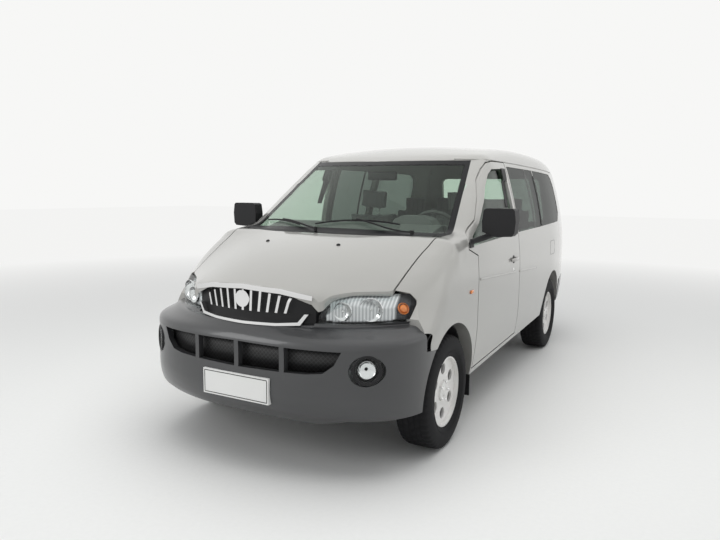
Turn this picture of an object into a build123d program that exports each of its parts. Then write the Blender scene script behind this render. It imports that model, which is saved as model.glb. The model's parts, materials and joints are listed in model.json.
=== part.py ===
from build123d import *
import math
import os

os.makedirs("parts", exist_ok=True)

# A short-nosed minivan, millimetres. X points to the vehicle's left, Y towards the tail, Z up
# from the road. Lengthwise places in this file are stations: distances behind the front axle.

# Overall sizes
wheelbase = 2810
front_overhang = 870
rear_overhang = 1015
half_width = 910
roof_z = 1908
belt_z = 1150
sill_z = 335
sill_rise = 60
front_track = 1570
rear_track = 1550
tyre_radius = 338
tyre_width = 215
rim_radius = 208

front_axle_y = front_overhang - (front_overhang + wheelbase + rear_overhang) / 2
tail = wheelbase + rear_overhang
axle_z = tyre_radius

# Walls, gaps and fits
door_wall = 80
frame_wall = 45
roof_wall = 30
hood_wall = 18
glass_inset = 3
glass_thick = 6
door_glass_inset = 20
bumper_wall = 35
door_gap = 8
frame_gap = 6
panel_gap = 0.7
fit = 0.05
seat_gap = 0.3

# Body panels, as stations and heights
arch_radius = 412
rear_arch_radius = 426
liner_radius = 400
liner_wall = 7
door_front = 430
door_lean = 5
door_rear = 1490
door_low_z = 368
pillar_lean = 16
sail_station = 255
floor_z = 600
floor_thick = 40
floor_half = 760
firewall = 430

# Skin of the body ------------------------------------------------------------


def smooth_max(a, b, radius):
    blend = max(radius - abs(a - b), 0.0)
    return max(a, b) + blend * blend / (4 * radius)


def smooth_step(value, low, high):
    t = min(1, max(0, (value - low) / (high - low)))
    return t * t * (3 - 2 * t)


def curve(points):
    """A smooth line through the points, straight beyond both ends."""
    xs = [p[0] for p in points]
    ys = [p[1] for p in points]
    count = len(xs)
    chord = [(ys[i + 1] - ys[i]) / (xs[i + 1] - xs[i]) for i in range(count - 1)]
    slope = [chord[0]]
    for i in range(1, count - 1):
        before, after = xs[i] - xs[i - 1], xs[i + 1] - xs[i]
        slope.append((chord[i - 1] * after + chord[i] * before) / (before + after))
    slope.append(chord[-1])

    def value(x):
        if x <= xs[0]:
            return ys[0] + slope[0] * (x - xs[0])
        if x >= xs[-1]:
            return ys[-1] + slope[-1] * (x - xs[-1])
        i = max(j for j in range(count - 1) if xs[j] <= x)
        run = xs[i + 1] - xs[i]
        t = (x - xs[i]) / run
        start = (2 * t**3 - 3 * t * t + 1) * ys[i] + (t**3 - 2 * t * t + t) * run * slope[i]
        end = (-2 * t**3 + 3 * t * t) * ys[i + 1] + (t**3 - t * t) * run * slope[i + 1]
        return start + end

    return value


roof_line = curve(
    [
        (700, roof_z - 206),
        (880, roof_z - 140),
        (1235, roof_z - 60),
        (1600, roof_z - 23),
        (2150, roof_z),
        (tail - 1125, roof_z - 3),
        (tail - 575, roof_z - 26),
        (tail - 225, roof_z - 73),
        (tail + 25, roof_z - 148),
    ]
)
tail_line = curve(
    [
        (250, tail - 65),
        (600, tail - 50),
        (900, tail - 32),
        (1100, tail - 38),
        (1450, tail - 120),
        (1600, tail - 175),
        (roof_z - 208, tail - 220),
        (roof_z - 138, tail - 262),
        (roof_z - 68, tail - 330),
        (roof_z + 32, tail - 450),
    ]
)
cowl_z = 1245
cowl_station = 30
hood_crown = 1250
windscreen_rise = 0.6445
windscreen_bow = 200 / 640**2


def hood_height(x, s):
    ahead = s - 70
    crown = hood_crown + 0.0882 * ahead - (2.157e-4 * ahead * ahead if ahead < 0 else 0)
    drop = max(15.0, 37 - 0.33 * s)
    return crown - drop * (abs(x) / 700) ** 2.2


def windscreen_height(x, s):
    return cowl_z + windscreen_rise * (s - cowl_station - windscreen_bow * x * x)


def top_height(x, s):
    roof = roof_line(s) - 28 * (x / 550) ** 2
    return -smooth_max(-smooth_max(hood_height(x, s), windscreen_height(x, s), 25), -roof, 30)


def side_width(s, z):
    """Half width of the body at a station and a height."""
    tuck = 0
    if z > 950:
        tuck = 0.0353 * (z - 950) + 1.984e-4 * (z - 950) ** 2
    if z < 700:
        tuck = 45 * ((700 - z) / 400) ** 2
    width = half_width - tuck
    upper = smooth_step(z, 700, 920)
    start, run, power = -250 + upper * 150, 615 + upper * 85, 2.6 - 0.6 * upper
    if s < start:
        q = (start - s) / run
        if q <= 0.8:
            width *= (1 - q * q) ** (1 / power)
        else:
            at_edge = 0.36 ** (1 / power)
            fall = -(1.6 / power) * 0.36 ** (1 / power - 1)
            width *= at_edge + fall * (q - 0.8)
    if s > tail - 1225:
        width -= 40 * ((s - tail + 1225) / 720) ** 2
    return width


def wall_at(z, wall):
    """A wall's thickness: the door's below the belt line and the window frame's above it."""
    if wall != door_wall:
        return wall
    return door_wall - (door_wall - frame_wall) * smooth_step(z, belt_z - 30, belt_z + 40)


def outside(x, s, z, wall, roof_inset):
    """Positive outside the skin moved inwards by the wall, negative inside it."""
    radius = 130 - 70 * smooth_step(s, 0, 300) + 50 * smooth_step(s, 900, 1400)
    side = x - side_width(s, z) + wall_at(z, wall)
    slope = (top_height(x, s + 1) - top_height(x, s - 1)) / 2
    top = (z - top_height(x, s) + roof_inset) / math.sqrt(1 + slope * slope)
    return smooth_max(side, top, radius)


ring_centre_z = 700
ring_steps = 24
station_step = 62
station_count = 77
first_station = -862


def ring(s, wall, roof_inset, low_z):
    """One cross section of the skin, found along rays from the middle."""
    low_x = side_width(s, low_z) - wall_at(low_z, wall)
    start = math.atan2(low_z - ring_centre_z, low_x)
    y = s + front_axle_y
    half = [(low_x, y, low_z)]
    for i in range(1, ring_steps + 1):
        angle = start + (math.pi / 2 - start) * i / ring_steps
        c, d = math.cos(angle), math.sin(angle)
        near, far = 10, 1700
        for _ in range(34):
            middle = (near + far) / 2
            if outside(middle * c, s, ring_centre_z + middle * d, wall, roof_inset) < 0:
                near = middle
            else:
                far = middle
        half.append((near * c, y, ring_centre_z + near * d))
    return half + [(-x, y, z) for x, y, z in half[-2::-1]]


def smooth_edge(points):
    last = len(points) - 1
    steps = [i / last for i in range(last + 1)]
    return Edge.make_spline([Vector(*p) for p in points], parameters=steps)


def closed_wire(points, corners=()):
    """A smooth edge through the points, closed by straight runs over the corners."""
    edges = [smooth_edge(points)]
    path = [points[-1], *corners, points[0]]
    for a, b in zip(path, path[1:]):
        edges.append(Edge.make_line(a, b))
    return Wire(edges)


def loft(wires):
    return Part() + Solid.make_loft(wires)


def body_tube(wall, roof_inset, low_z):
    stations = [first_station + i * station_step for i in range(station_count)]
    return loft([closed_wire(ring(s, wall, roof_inset, low_z)) for s in stations])


tail_step = 31
tail_steps = 30
tail_corner_depth = 400
tail_corner_extra = 70


def tail_section(z, inset):
    """Plan shape of the tail at one height, with its rounded corners."""
    centre = tail_line(z) - inset
    half = side_width(tail - 300, z) + tail_corner_extra - inset
    points = []
    for i in range(tail_steps + 1):
        angle = math.pi * (i / tail_steps - 0.5)
        x = 0.985 * half * math.sin(angle)
        bend = 1 - math.sqrt(1 - abs(x / half) ** 6)
        points.append((x, centre - tail_corner_depth * bend + front_axle_y, z))
    ahead = first_station - 200 + front_axle_y
    corners = [(half + 350, ahead, z), (-half - 350, ahead, z)]
    return closed_wire(points, corners)


def tail_solid(inset):
    low = 250
    count = int((roof_z + 60 - low) / tail_step)
    return loft([tail_section(low + i * tail_step, inset) for i in range(count)])


def skin(wall, roof_inset, tail_inset, low_z=sill_z):
    return body_tube(wall, roof_inset, low_z) & tail_solid(tail_inset)


# Plain cutting shapes ---------------------------------------------------------


def box(x0, x1, s0, s1, z0, z1):
    middle = Pos((x0 + x1) / 2, (s0 + s1) / 2 + front_axle_y, (z0 + z1) / 2)
    return middle * Box(abs(x1 - x0), abs(s1 - s0), abs(z1 - z0))


def rod_x(x0, x1, s, z, radius):
    place = Plane(origin=(x0, s + front_axle_y, z), x_dir=(0, 1, 0), z_dir=(1, 0, 0))
    return extrude(place * Circle(radius), x1 - x0)


def rod_between(a, b, radius):
    start = Vector(a[0], a[1] + front_axle_y, a[2])
    end = Vector(b[0], b[1] + front_axle_y, b[2])
    return extrude(Plane(origin=start, z_dir=end - start) * Circle(radius), (end - start).length)


def side_prism(points, x0, x1):
    """A solid with an outline of stations and heights, between two widths."""
    outline = [(s + front_axle_y, z) for s, z in points]
    return extrude(Plane.YZ.offset(x0) * make_face(Polyline(*outline, close=True)), x1 - x0)


def front_prism(points, s0, s1):
    """A solid with an outline of widths and heights, between two stations."""
    face = Plane.XZ.offset(-(s0 + front_axle_y)) * make_face(Polyline(*points, close=True))
    return extrude(face, -(s1 - s0))


def rounded_front_prism(points, radius, s0, s1):
    face = make_face(FilletPolyline(*points, radius=radius, close=True))
    return extrude(Plane.XZ.offset(-(s0 + front_axle_y)) * face, -(s1 - s0))


def plan_prism(edges, z0, z1):
    return extrude(Plane.XY.offset(z0) * make_face(edges), z1 - z0)


def plan_arc(a, b, c):
    return ThreePointArc(*[(x, s + front_axle_y) for x, s in (a, b, c)])


def plan_line(points):
    return Polyline(*[(x, s + front_axle_y) for x, s in points])


def mirrored(shape):
    return mirror(shape, about=Plane.YZ)


def ring_x(x0, x1, s, z, outer, inner):
    return rod_x(x0, x1, s, z, outer) - rod_x(x0 - 1, x1 + 1, s, z, inner)


def keep(node, shape):
    shape = Part() + shape
    export_step(shape, f"parts/{node}.step", write_pcurves=False)
    return shape


# Layers of the body's skin ---------------------------------------------------

outer = skin(0, 0, 0)
inner = skin(door_wall, roof_wall, frame_wall, sill_z + 32)
hood_inner = skin(40, hood_wall, frame_wall)
shell = outer - inner
glass_outer = skin(glass_inset, glass_inset, glass_inset)
glass_inner = skin(*[glass_inset + glass_thick] * 3)
pane_outer = skin(door_glass_inset, door_glass_inset, door_glass_inset)
pane_inner = skin(*[door_glass_inset + glass_thick - 1] * 3)


def glazing(region):
    return (region & glass_outer) - glass_inner


def door_glazing(region):
    return (region & pane_outer) - pane_inner


# Outlines seen from above ------------------------------------------------------

hood_corner = (752, 142)
hood_back = -12
hood_shut = [(740, 20), (728, -80), (718, -200), (711, -320), (704, -405)]
lamp_edge = [(690, -425), (547, -556), (470, -645), (440, -690), (422, -706)]
nose_edge = (385, -712)
hood_tip = -795
screen_low = (776, 268)
screen_top = (642, 1006)
screen_low_centre = 30
screen_top_centre = 800
roof_side = 550
hinge_station = tail - 370


def flip(points):
    return [(-x, s) for x, s in reversed(points)]


def hood_outline(gap):
    """Plan outline of the hood, or of its opening with a gap around it."""
    corner = (hood_corner[0] + gap, hood_corner[1] + gap)
    side = [corner, *[(x + gap, s) for x, s in hood_shut]]
    lamp = [(x, s - gap) for x, s in lamp_edge]
    nose = (nose_edge[0], nose_edge[1] - gap)
    back = plan_arc((-corner[0], corner[1]), (0, hood_back + gap), corner)
    left = plan_line([*side, *lamp, nose])
    tip = plan_arc(nose, (0, hood_tip - gap), (-nose[0], nose[1]))
    right = plan_line([(-nose[0], nose[1]), *flip(lamp), *flip(side)])
    return [back, left, tip, right]


def screen_outline():
    low = plan_arc((-screen_low[0], screen_low[1]), (0, screen_low_centre), screen_low)
    left = plan_line([screen_low, screen_top])
    top = plan_arc(screen_top, (0, screen_top_centre), (-screen_top[0], screen_top[1]))
    right = plan_line([(-screen_top[0], screen_top[1]), (-screen_low[0], screen_low[1])])
    return [low, left, top, right]


def cowl_outline(gap):
    corner = (hood_corner[0] + gap, hood_corner[1] + gap)
    back = plan_arc((-corner[0], corner[1]), (0, hood_back + gap), corner)
    left = plan_line([corner, screen_low])
    low = plan_arc(screen_low, (0, screen_low_centre), (-screen_low[0], screen_low[1]))
    right = plan_line([(-screen_low[0], screen_low[1]), (-corner[0], corner[1])])
    return [back, left, low, right]


def roof_outline():
    drop = (screen_top[1] - screen_top_centre) * (roof_side / screen_top[0]) ** 2
    front = screen_top_centre + drop
    top = plan_arc((-roof_side, front), (0, screen_top_centre), (roof_side, front))
    rest = plan_line([(roof_side, front), (roof_side, tail), (-roof_side, tail), (-roof_side, front)])
    return [top, rest]


hood_hole = plan_prism(hood_outline(door_gap), 850, 1350)
hood_zone = plan_prism(hood_outline(0), 850, 1350)
cowl_zone = plan_prism(cowl_outline(door_gap), 1150, 1350)
screen_zone = plan_prism(screen_outline(), 1150, 1800)
roof_zone = plan_prism(roof_outline(), 1640, roof_z + 60)

# Outlines seen from the side -----------------------------------------------------

door_opening = [
    (door_front, door_low_z),
    (door_front + door_lean, belt_z - 42),
    (sail_station, belt_z + 10),
    (sail_station + 13, belt_z + 55),
    (520, 1335),
    (710, 1488),
    (830, 1592),
    (960, 1680),
    (1050, 1727),
    (1130, 1742),
    (door_rear - 45, 1746),
    (door_rear - pillar_lean, belt_z),
    (door_rear, 560),
    (door_rear, door_low_z + 30),
]


def inset_outline(points, gap):
    """Moves each side of a closed outline inwards by the gap."""
    area = sum(a[0] * b[1] - b[0] * a[1] for a, b in zip(points, points[1:] + points[:1]))
    turn = 1 if area > 0 else -1
    moved = []
    for before, here, after in zip(points[-1:] + points[:-1], points, points[1:] + points[:1]):
        u = Vector(here[0] - before[0], here[1] - before[1]).normalized()
        v = Vector(after[0] - here[0], after[1] - here[1]).normalized()
        normal_u = Vector(-u.Y, u.X) * turn
        normal_v = Vector(-v.Y, v.X) * turn
        half = (normal_u + normal_v).normalized()
        reach = gap / max(half.dot(normal_u), 0.3)
        moved.append((here[0] + half.X * reach, here[1] + half.Y * reach))
    return moved


def door_outline():
    """The door: its opening less the gap, which widens to the rear top corner."""
    panel = inset_outline(door_opening, door_gap)
    corner = panel[-4]
    panel[-4] = (corner[0] - frame_gap, corner[1])
    return panel


door_window = [
    (352, belt_z + 28),
    (365, 1212),
    (540, 1310),
    (730, 1452),
    (850, 1555),
    (975, 1640),
    (1070, 1678),
    (door_rear - 105, 1692),
    (door_rear - 80, belt_z + 52),
]
middle_window = [(1478, 1206), (1474, 1712), (2292, 1708), (2292, 1216)]
slide_window = [(1505, 1206), (1500, 1700), (2240, 1698), (2240, 1216)]
quarter_window = [
    (2310, 1217),
    (2310, 1708),
    (tail - 760, 1694),
    (tail - 660, 1655),
    (tail - 605, 1560),
    (tail - 590, 1310),
    (tail - 700, 1232),
]
slide_opening = [
    (door_rear + 14, 420),
    (door_rear + 14, 560),
    (door_rear, belt_z),
    (door_rear - 22, 1742),
    (2275, 1738),
    (2275, 800),
    (2310, 640),
    (2310, 420),
]
side_out = 1200
side_in = 500


def side_cut(points, gap=0):
    moved = inset_outline(points, gap) if gap else points
    return side_prism(moved, side_in, side_out)


fender_edge = [
    (-245, 600),
    (-245, 655),
    (-383, 668),
    (-386, 835),
    (-342, 930),
    (-352, 968),
    (-470, 1010),
    (-470, 1300),
    (sail_station - 40, 1300),
    (sail_station - 33, 1243),
    (sail_station - panel_gap, belt_z + 10),
    (door_front + door_lean, belt_z - 42),
    (door_front, door_low_z),
    (door_front, sill_z - 20),
    (0, sill_z - 20),
]

# Cutters shared by both sides
front_arch = rod_x(side_in, side_out, 0, axle_z, arch_radius)
rear_arch = rod_x(side_in, side_out, wheelbase, axle_z, rear_arch_radius)
sill_cut = side_prism([(0, 0), (0, sill_z), (door_front, sill_z), (tail - 1300, sill_z + sill_rise), (tail + 100, sill_z + sill_rise), (tail + 100, 0)], side_in, side_out)
gate_outline = [(735, 640), (745, 1120), (660, roof_z - 160), (640, roof_z - 60), (640, roof_z + 60)]
gate_hinge_z = roof_z - 128
gate_roll = 95


def gate_region(gap):
    """The tailgate's region: its outline from behind, ended by a roll about its hinge."""
    half = [(x + gap, z) for x, z in gate_outline]
    half[0] = (half[0][0], half[0][1] - gap)
    whole = half + [(-x, z) for x, z in reversed(half)]
    wide = gate_outline[-1][0] + gap
    below = front_prism(whole, hinge_station, tail + 50)
    roll = rod_x(-wide, wide, hinge_station, gate_hinge_z, gate_roll + gap)
    return below + roll


gate_hole = gate_region(door_gap)
rear_bumper_top = 625
bumper_side_station = tail - 560

# Side walls ---------------------------------------------------------------------


def side_zone():
    outline = [
        (roof_side, 1640),
        (roof_side, roof_z + 60),
        (side_out, roof_z + 60),
        (side_out, sill_z - 20),
        (700, sill_z - 20),
        (700, 1560),
    ]
    return front_prism(outline, -50, tail + 50)


def wheelhouse(track):
    """The inner arch over a rear wheel, closed towards the cabin."""
    wall = 10
    inside = track / 2 - tyre_width / 2 - 55
    outside_x = half_width - door_wall - 2
    drum = rod_x(inside, outside_x, wheelbase, axle_z, rear_arch_radius + wall)
    hollow = rod_x(inside + wall, outside_x + 1, wheelbase, axle_z, rear_arch_radius)
    return (drum - hollow) & box(0, side_out, wheelbase - 500, wheelbase + 500, 385, 900)


lamp_zone = front_prism([(756, 800), (756, 1180), (930, 1180), (945, 800)], tail - 190, tail + 60)
side_shell = (shell & side_zone()) - hood_hole - cowl_zone - screen_zone - gate_hole - sill_cut
fender_zone = side_prism(fender_edge, side_in, side_out)
bumper_cut = box(0, side_out, bumper_side_station, tail + 100, 200, rear_bumper_top)
side_blank = side_shell - fender_zone - rear_arch - bumper_cut - lamp_zone
side_blank = side_blank - box(0, side_out, -900, door_front - 60, 0, belt_z - 60)
gate_pin = rod_x(gate_outline[-1][0] - 15, gate_outline[-1][0] + 25, hinge_station, gate_hinge_z, 5)
side_blank = side_blank - side_cut(door_opening) + gate_pin
body_left = side_blank - side_cut(middle_window) - side_cut(quarter_window)
body_right = mirrored(side_blank - side_cut(slide_opening) - side_cut(quarter_window))
keep("body_side_left", body_left)
keep("body_side_right", body_right)

quarter_pane = glazing(side_cut(quarter_window))
middle_pane = glazing(side_cut(middle_window))
slide_pane = mirrored(glazing(side_cut(slide_window)))
keep("side_windows", middle_pane + quarter_pane + mirrored(quarter_pane) + slide_pane)
slide_panel = (side_shell & side_cut(slide_opening, panel_gap)) - side_cut(slide_window)
keep("sliding_door_right", mirrored(slide_panel - rear_arch))
keep("roof_panel", (shell & roof_zone) - screen_zone - gate_hole)
keep("windscreen", glazing(screen_zone))

tail_lamp = shell & lamp_zone
keep("tail_lamps", tail_lamp + mirrored(tail_lamp))

# Hood and cowl ---------------------------------------------------------------------

hood_hinge_station = hood_corner[1] + 18
hood_hinge_z = 1226
hood_lug_x = 706
hood_lug_width = 12
pin_radius = 4
lug_radius = 9


def hood_lug():
    x0, x1 = hood_lug_x, hood_lug_x + hood_lug_width
    bar = box(x0, x1, hood_hinge_station - 45, hood_hinge_station, hood_hinge_z - lug_radius,
              hood_hinge_z + lug_radius)
    return bar + rod_x(x0, x1, hood_hinge_station, hood_hinge_z, lug_radius)


def hood_pocket():
    x0, x1 = hood_lug_x - 2, hood_lug_x + hood_lug_width + 2
    return box(x0, x1, hood_hinge_station - 50, hood_hinge_station + 14, hood_hinge_z - 20, 1300)


def both(shape):
    return shape + mirrored(shape)


def corner_room():
    """Room in the cowl for the hood's rear corner as the hood opens."""
    return box(728, 757, hood_hinge_station - 26, hood_hinge_station - 4, 1228, 1300)


hood_pin = rod_x(hood_lug_x - 6, hood_lug_x + hood_lug_width + 6, hood_hinge_station, hood_hinge_z,
                 pin_radius)
pin_bore = rod_x(hood_lug_x - 6, hood_lug_x + hood_lug_width + 6, hood_hinge_station, hood_hinge_z,
                 pin_radius + fit)
hood = (outer - hood_inner) & hood_zone
keep("hood", hood + both(hood_lug()) - both(pin_bore))
keep("cowl_panel", (shell & cowl_zone) - both(hood_pocket()) - both(corner_room()) + both(hood_pin))

# Front doors ---------------------------------------------------------------------------

door_hinge_x = half_width - 20
door_hinge_station = door_front + 60
hinge_heights = (600, 1000)
leaf_thick = 10
leaf_half = 12
hinge_pin_radius = 6


def hinge_rod(z, half_length, radius):
    place = Pos(door_hinge_x, door_hinge_station + front_axle_y, z)
    return place * Cylinder(radius, 2 * half_length)


def hinge_leaf(z):
    """A leaf on the front pillar, with the pin that the door turns on."""
    plate = box(floor_half, door_hinge_x, door_hinge_station - leaf_half,
                door_hinge_station + leaf_half, z - leaf_thick / 2, z + leaf_thick / 2)
    return plate + hinge_rod(z, leaf_thick / 2, leaf_half) + hinge_rod(z, 30, hinge_pin_radius)


def hinge_pocket(z):
    room = leaf_thick / 2 + 5
    cut = box(700, door_hinge_x + leaf_half + 1, door_front - 20, door_hinge_station + leaf_half + 2,
              z - room, z + room)
    return cut + hinge_rod(z, 30.5, hinge_pin_radius + fit)


door_left = (shell & side_prism(door_outline(), side_in, side_out)) - side_cut(door_window)
for height in hinge_heights:
    door_left = door_left - hinge_pocket(height)
keep("door_front_left", door_left)
keep("door_front_right", mirrored(door_left))
door_pane = door_glazing(side_cut(door_window))
keep("door_glass_left", door_pane)
keep("door_glass_right", mirrored(door_pane))
leaves = Part() + [hinge_leaf(z) for z in hinge_heights]
keep("door_hinges", both(leaves))

# Tailgate --------------------------------------------------------------------------------

gate_window = [(600, 1190), (560, roof_z - 245), (-560, roof_z - 245), (-600, 1190)]
gate_bore = rod_x(gate_outline[-1][0] - 16, gate_outline[-1][0] + 26, hinge_station, gate_hinge_z,
                  5 + fit)
gate_glass_zone = rounded_front_prism(gate_window, 60, tail - 600, tail + 60)
tailgate = (shell & gate_region(0)) - gate_glass_zone - both(gate_bore)
keep("tailgate", tailgate)
keep("tailgate_glass", glazing(gate_glass_zone))

# Nose: bumper, lamps and grille -------------------------------------------------------------

bumper_low = 262
bumper_step = 20
bumper_count = 29
nose_steps = 30
bumper_line = curve(
    [
        (bumper_low, -690),
        (310, -775),
        (350, -822),
        (400, -850),
        (450, -862),
        (520, -862),
        (600, -856),
        (680, -856),
        (730, -855),
        (760, -838),
        (790, -806),
        (bumper_low + bumper_step * (bumper_count - 1), -772),
    ]
)


def even_points(points, count):
    """Points at equal distances along a line of many short runs."""
    places = [0]
    for p, q in zip(points, points[1:]):
        places.append(places[-1] + math.hypot(q[0] - p[0], q[1] - p[1]))
    even, i = [], 0
    for k in range(count + 1):
        place = places[-1] * k / count
        while i < len(points) - 2 and places[i + 1] < place:
            i += 1
        share = (place - places[i]) / (places[i + 1] - places[i])
        p, q = points[i], points[i + 1]
        even.append((p[0] + (q[0] - p[0]) * share, p[1] + (q[1] - p[1]) * share))
    return even


def nose_line(centre, half, start, power):
    """Plan line of a rounded nose, from the right side round to the left."""
    fine = 400
    points = []
    for i in range(fine + 1):
        angle = math.pi * (i / fine - 0.5)
        x = math.sin(angle)
        reach = max(0, 1 - abs(x) ** power) ** (1 / power)
        points.append((half * x, start + (centre - start) * reach + front_axle_y))
    return even_points(points, nose_steps)


def bumper_section(z, inset):
    shelf = smooth_step(z, 735, 815)
    half = half_width - 5 - 10 * shelf - inset
    line = nose_line(bumper_line(z) + inset, half, -250 + 140 * shelf, 2.6 - 0.7 * shelf)
    points = [(x, y, z) for x, y in line]
    back = -100 + front_axle_y
    return closed_wire(points, [(half, back, z), (-half, back, z)])


def bumper_solid(inset, cut):
    levels = [bumper_low + i * bumper_step for i in range(bumper_count - cut)]
    return loft([bumper_section(z, inset) for z in levels])


def nose_solid(inset, low, high):
    """The upright nose behind the lamps and the grille."""
    half = half_width - 17 - inset
    points = nose_line(-800 + inset, half, -100, 1.85)
    back = -60 + front_axle_y
    rest = Polyline(points[-1], (half, back), (-half, back), points[0])
    return extrude(Plane.XY.offset(low) * make_face([Spline(*points), rest]), high - low)


intake_top = 712
intake_low = 586
intake_outline = [(595, intake_top - 2), (560, 640), (505, 596), (420, intake_low), (0, intake_low - 8)]
divider_x = 285
divider_half = 14
fog_x, fog_z = 705, 612
fog_radius = 78
plate_width = 440
plate_height = 140
plate_z = 472
bumper_bottom = [(-950, 200), (-950, 345), (-600, 338), (-430, 290), (-330, 268), (330, 268),
                 (430, 290), (600, 338), (950, 345), (950, 200)]


def mirror_outline(points):
    return points + [(-x, z) for x, z in reversed(points[:-1])]


def intake_cells():
    """The air intake's four cells, between upright dividers."""
    whole = front_prism(mirror_outline(intake_outline) + [(0, intake_top + 6)], -900, -480)
    for x in (-divider_x, 0, divider_x):
        whole = whole - box(x - divider_half, x + divider_half, -910, -470, 500, 760)
    return whole


def fog_hole(radius):
    place = Plane(origin=(fog_x, -900 + front_axle_y, fog_z), x_dir=(1, 0, 0), z_dir=(0, 1, 0))
    return extrude(place * Circle(radius), 500)


bumper_outer = bumper_solid(0, 0)
bumper_inner = bumper_solid(bumper_wall, 2)
bumper_shell = bumper_outer - bumper_inner
bumper_side = [(-945, 200), (-245, 200), (-245, 655 - panel_gap), (-383, 668 - panel_gap),
               (-386 - panel_gap, 835), (-945, 835)]
front_bumper = bumper_shell & side_prism(bumper_side, -side_out, side_out)
front_bumper = front_bumper - both(front_arch) - front_prism(bumper_bottom, -950, 0)
front_bumper = front_bumper - intake_cells() - both(fog_hole(fog_radius))

lamp_outline = [
    (418, 828),
    (426, 893),
    (464, 955),
    (560, 966),
    (700, 968),
    (838, 962),
    (845, 925),
    (820, 834),
    (666, 818),
    (500, 820),
]
lamp_depth = 75
carrier_wall = 25
nose_outer = nose_solid(0, 700, 1100)
nose_back = nose_solid(lamp_depth, 600, 1200)
lamp_block = front_prism(lamp_outline, -900, -200) & nose_outer & glass_outer
hood_room = hood_hole - inner
headlamp = lamp_block - nose_back - hood_room

carrier = nose_solid(lamp_depth, 330, 950) - nose_solid(lamp_depth + carrier_wall, 300, 1000)
carrier = carrier & box(-780, 780, -800, -300, 380, 935)
carrier = carrier - box(-330, 330, -900, -480, 380, 800) - both(front_arch)

fog_lamp = (fog_hole(fog_radius - 0.3) & bumper_outer) - bumper_solid(60, 2)
fog_lamp = fog_lamp & box(500, 900, -900, -400, 400, 800)
keep("front_lamps", both(headlamp) + both(fog_lamp))

grille_depth = 30
bar_count = 11
bar_half = 7


def grille_bars():
    """Upright chrome bars that fan out slightly, under the top moulding."""
    bars = Part()
    for i in range(bar_count):
        x_low = (i - (bar_count - 1) / 2) * 50
        x_high = x_low * 1.13
        drop = 30 * (x_high / 378) ** 2
        bar = front_prism([(x_low - bar_half, 872), (x_low + bar_half, 872),
                           (x_high + bar_half, 1000 - drop), (x_high - bar_half, 1000 - drop)],
                          -900, -500)
        bars = bars + bar
    return (bars & nose_solid(4, 700, 1100)) - nose_solid(grille_depth, 600, 1200)


top_moulding = front_prism([(0, 1016), (230, 1002), (392, 970), (392, 945), (372, 948),
                            (225, 976), (0, 990), (-225, 976), (-372, 948), (-392, 945),
                            (-392, 970), (-230, 1002)], -900, -500)
low_moulding = front_prism([(0, 800), (200, 803), (330, 812), (372, 872), (352, 872),
                            (318, 828), (200, 818), (0, 815), (-200, 818), (-318, 828),
                            (-352, 872), (-372, 872), (-330, 812), (-200, 803)], -900, -500)


def nose_layer(shape, front, back):
    return (shape & nose_solid(front, 700, 1100)) - nose_solid(back, 600, 1200)


badge = front_prism([(46 * math.cos(a * math.pi / 12), 935 + 46 * math.sin(a * math.pi / 12))
                     for a in range(24)], -900, -500)
chrome = nose_layer(badge, -2, grille_depth) + grille_bars()
chrome = chrome + nose_layer(low_moulding, -2, grille_depth)
keep("grille_chrome", chrome - hood_room - nose_layer(top_moulding, -20, 60))
keep("hood_moulding", nose_layer(top_moulding, -8, grille_depth) - hood_zone)
back_plate = front_prism([(0, 1000), (392, 960), (392, 812), (0, 800), (-392, 812), (-392, 960)],
                         -900, -500)
grille = nose_layer(back_plate, grille_depth, lamp_depth) - both(lamp_block)
keep("front_carrier", (carrier + grille) & inner)

front_bumper = front_bumper - nose_solid(lamp_depth, 700, 1000) - both(lamp_block)
front_bumper = front_bumper - nose_layer(back_plate, -10, lamp_depth)
keep("front_bumper", front_bumper - nose_layer(low_moulding, -10, lamp_depth))

plate = box(-plate_width / 2, plate_width / 2, -front_overhang, -front_overhang + 40,
            plate_z - plate_height / 2, plate_z + plate_height / 2)
keep("front_plate", plate - bumper_outer)

fender = (shell & fender_zone) - hood_hole - cowl_zone - screen_zone - front_arch - sill_cut
fender = fender - lamp_block - bumper_outer
keep("fenders", both(fender))

# Tail: bumper, lamps and plate -----------------------------------------------------------------

tail_skin = body_tube(-4, 0, sill_z) & tail_solid(-48.5)
rear_bumper = tail_skin - inner
rear_bumper = rear_bumper & box(-side_out, side_out, bumper_side_station + panel_gap, tail + 60,
                                sill_z, rear_bumper_top - panel_gap)
rear_bumper = rear_bumper - both(rear_arch) - both(sill_cut) - box(-700, 700, 0, tail - 150, 0, 400)
keep("rear_bumper", rear_bumper)

rear_plate_z = 870
rear_plate = box(-plate_width / 2, plate_width / 2, tail - 90, tail - 22,
                 rear_plate_z - plate_height / 2, rear_plate_z + plate_height / 2)
keep("rear_plate", rear_plate - outer)

# Floor and frame -------------------------------------------------------------------------------

slab_bottom = floor_z - floor_thick
sill_top = sill_z + 32
web_x = floor_half - 40
front_rail_x = (380, 450)
rear_rail_x = (470, 540)
front_rail_z = (430, 520)
rear_rail_z = (480, slab_bottom)
wheelhouse_in = rear_track / 2 - tyre_width / 2 - 55
floor_back = tail - 70
eye_x = 345
eye_thick = 16
eye_station = -520
eye_radius = 15
pad_thick = 8


def wheel_room():
    """What the inner arch over a rear wheel takes out of the floor."""
    return rod_x(wheelhouse_in + 1, side_out, wheelbase, axle_z, rear_arch_radius + 9)


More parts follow.
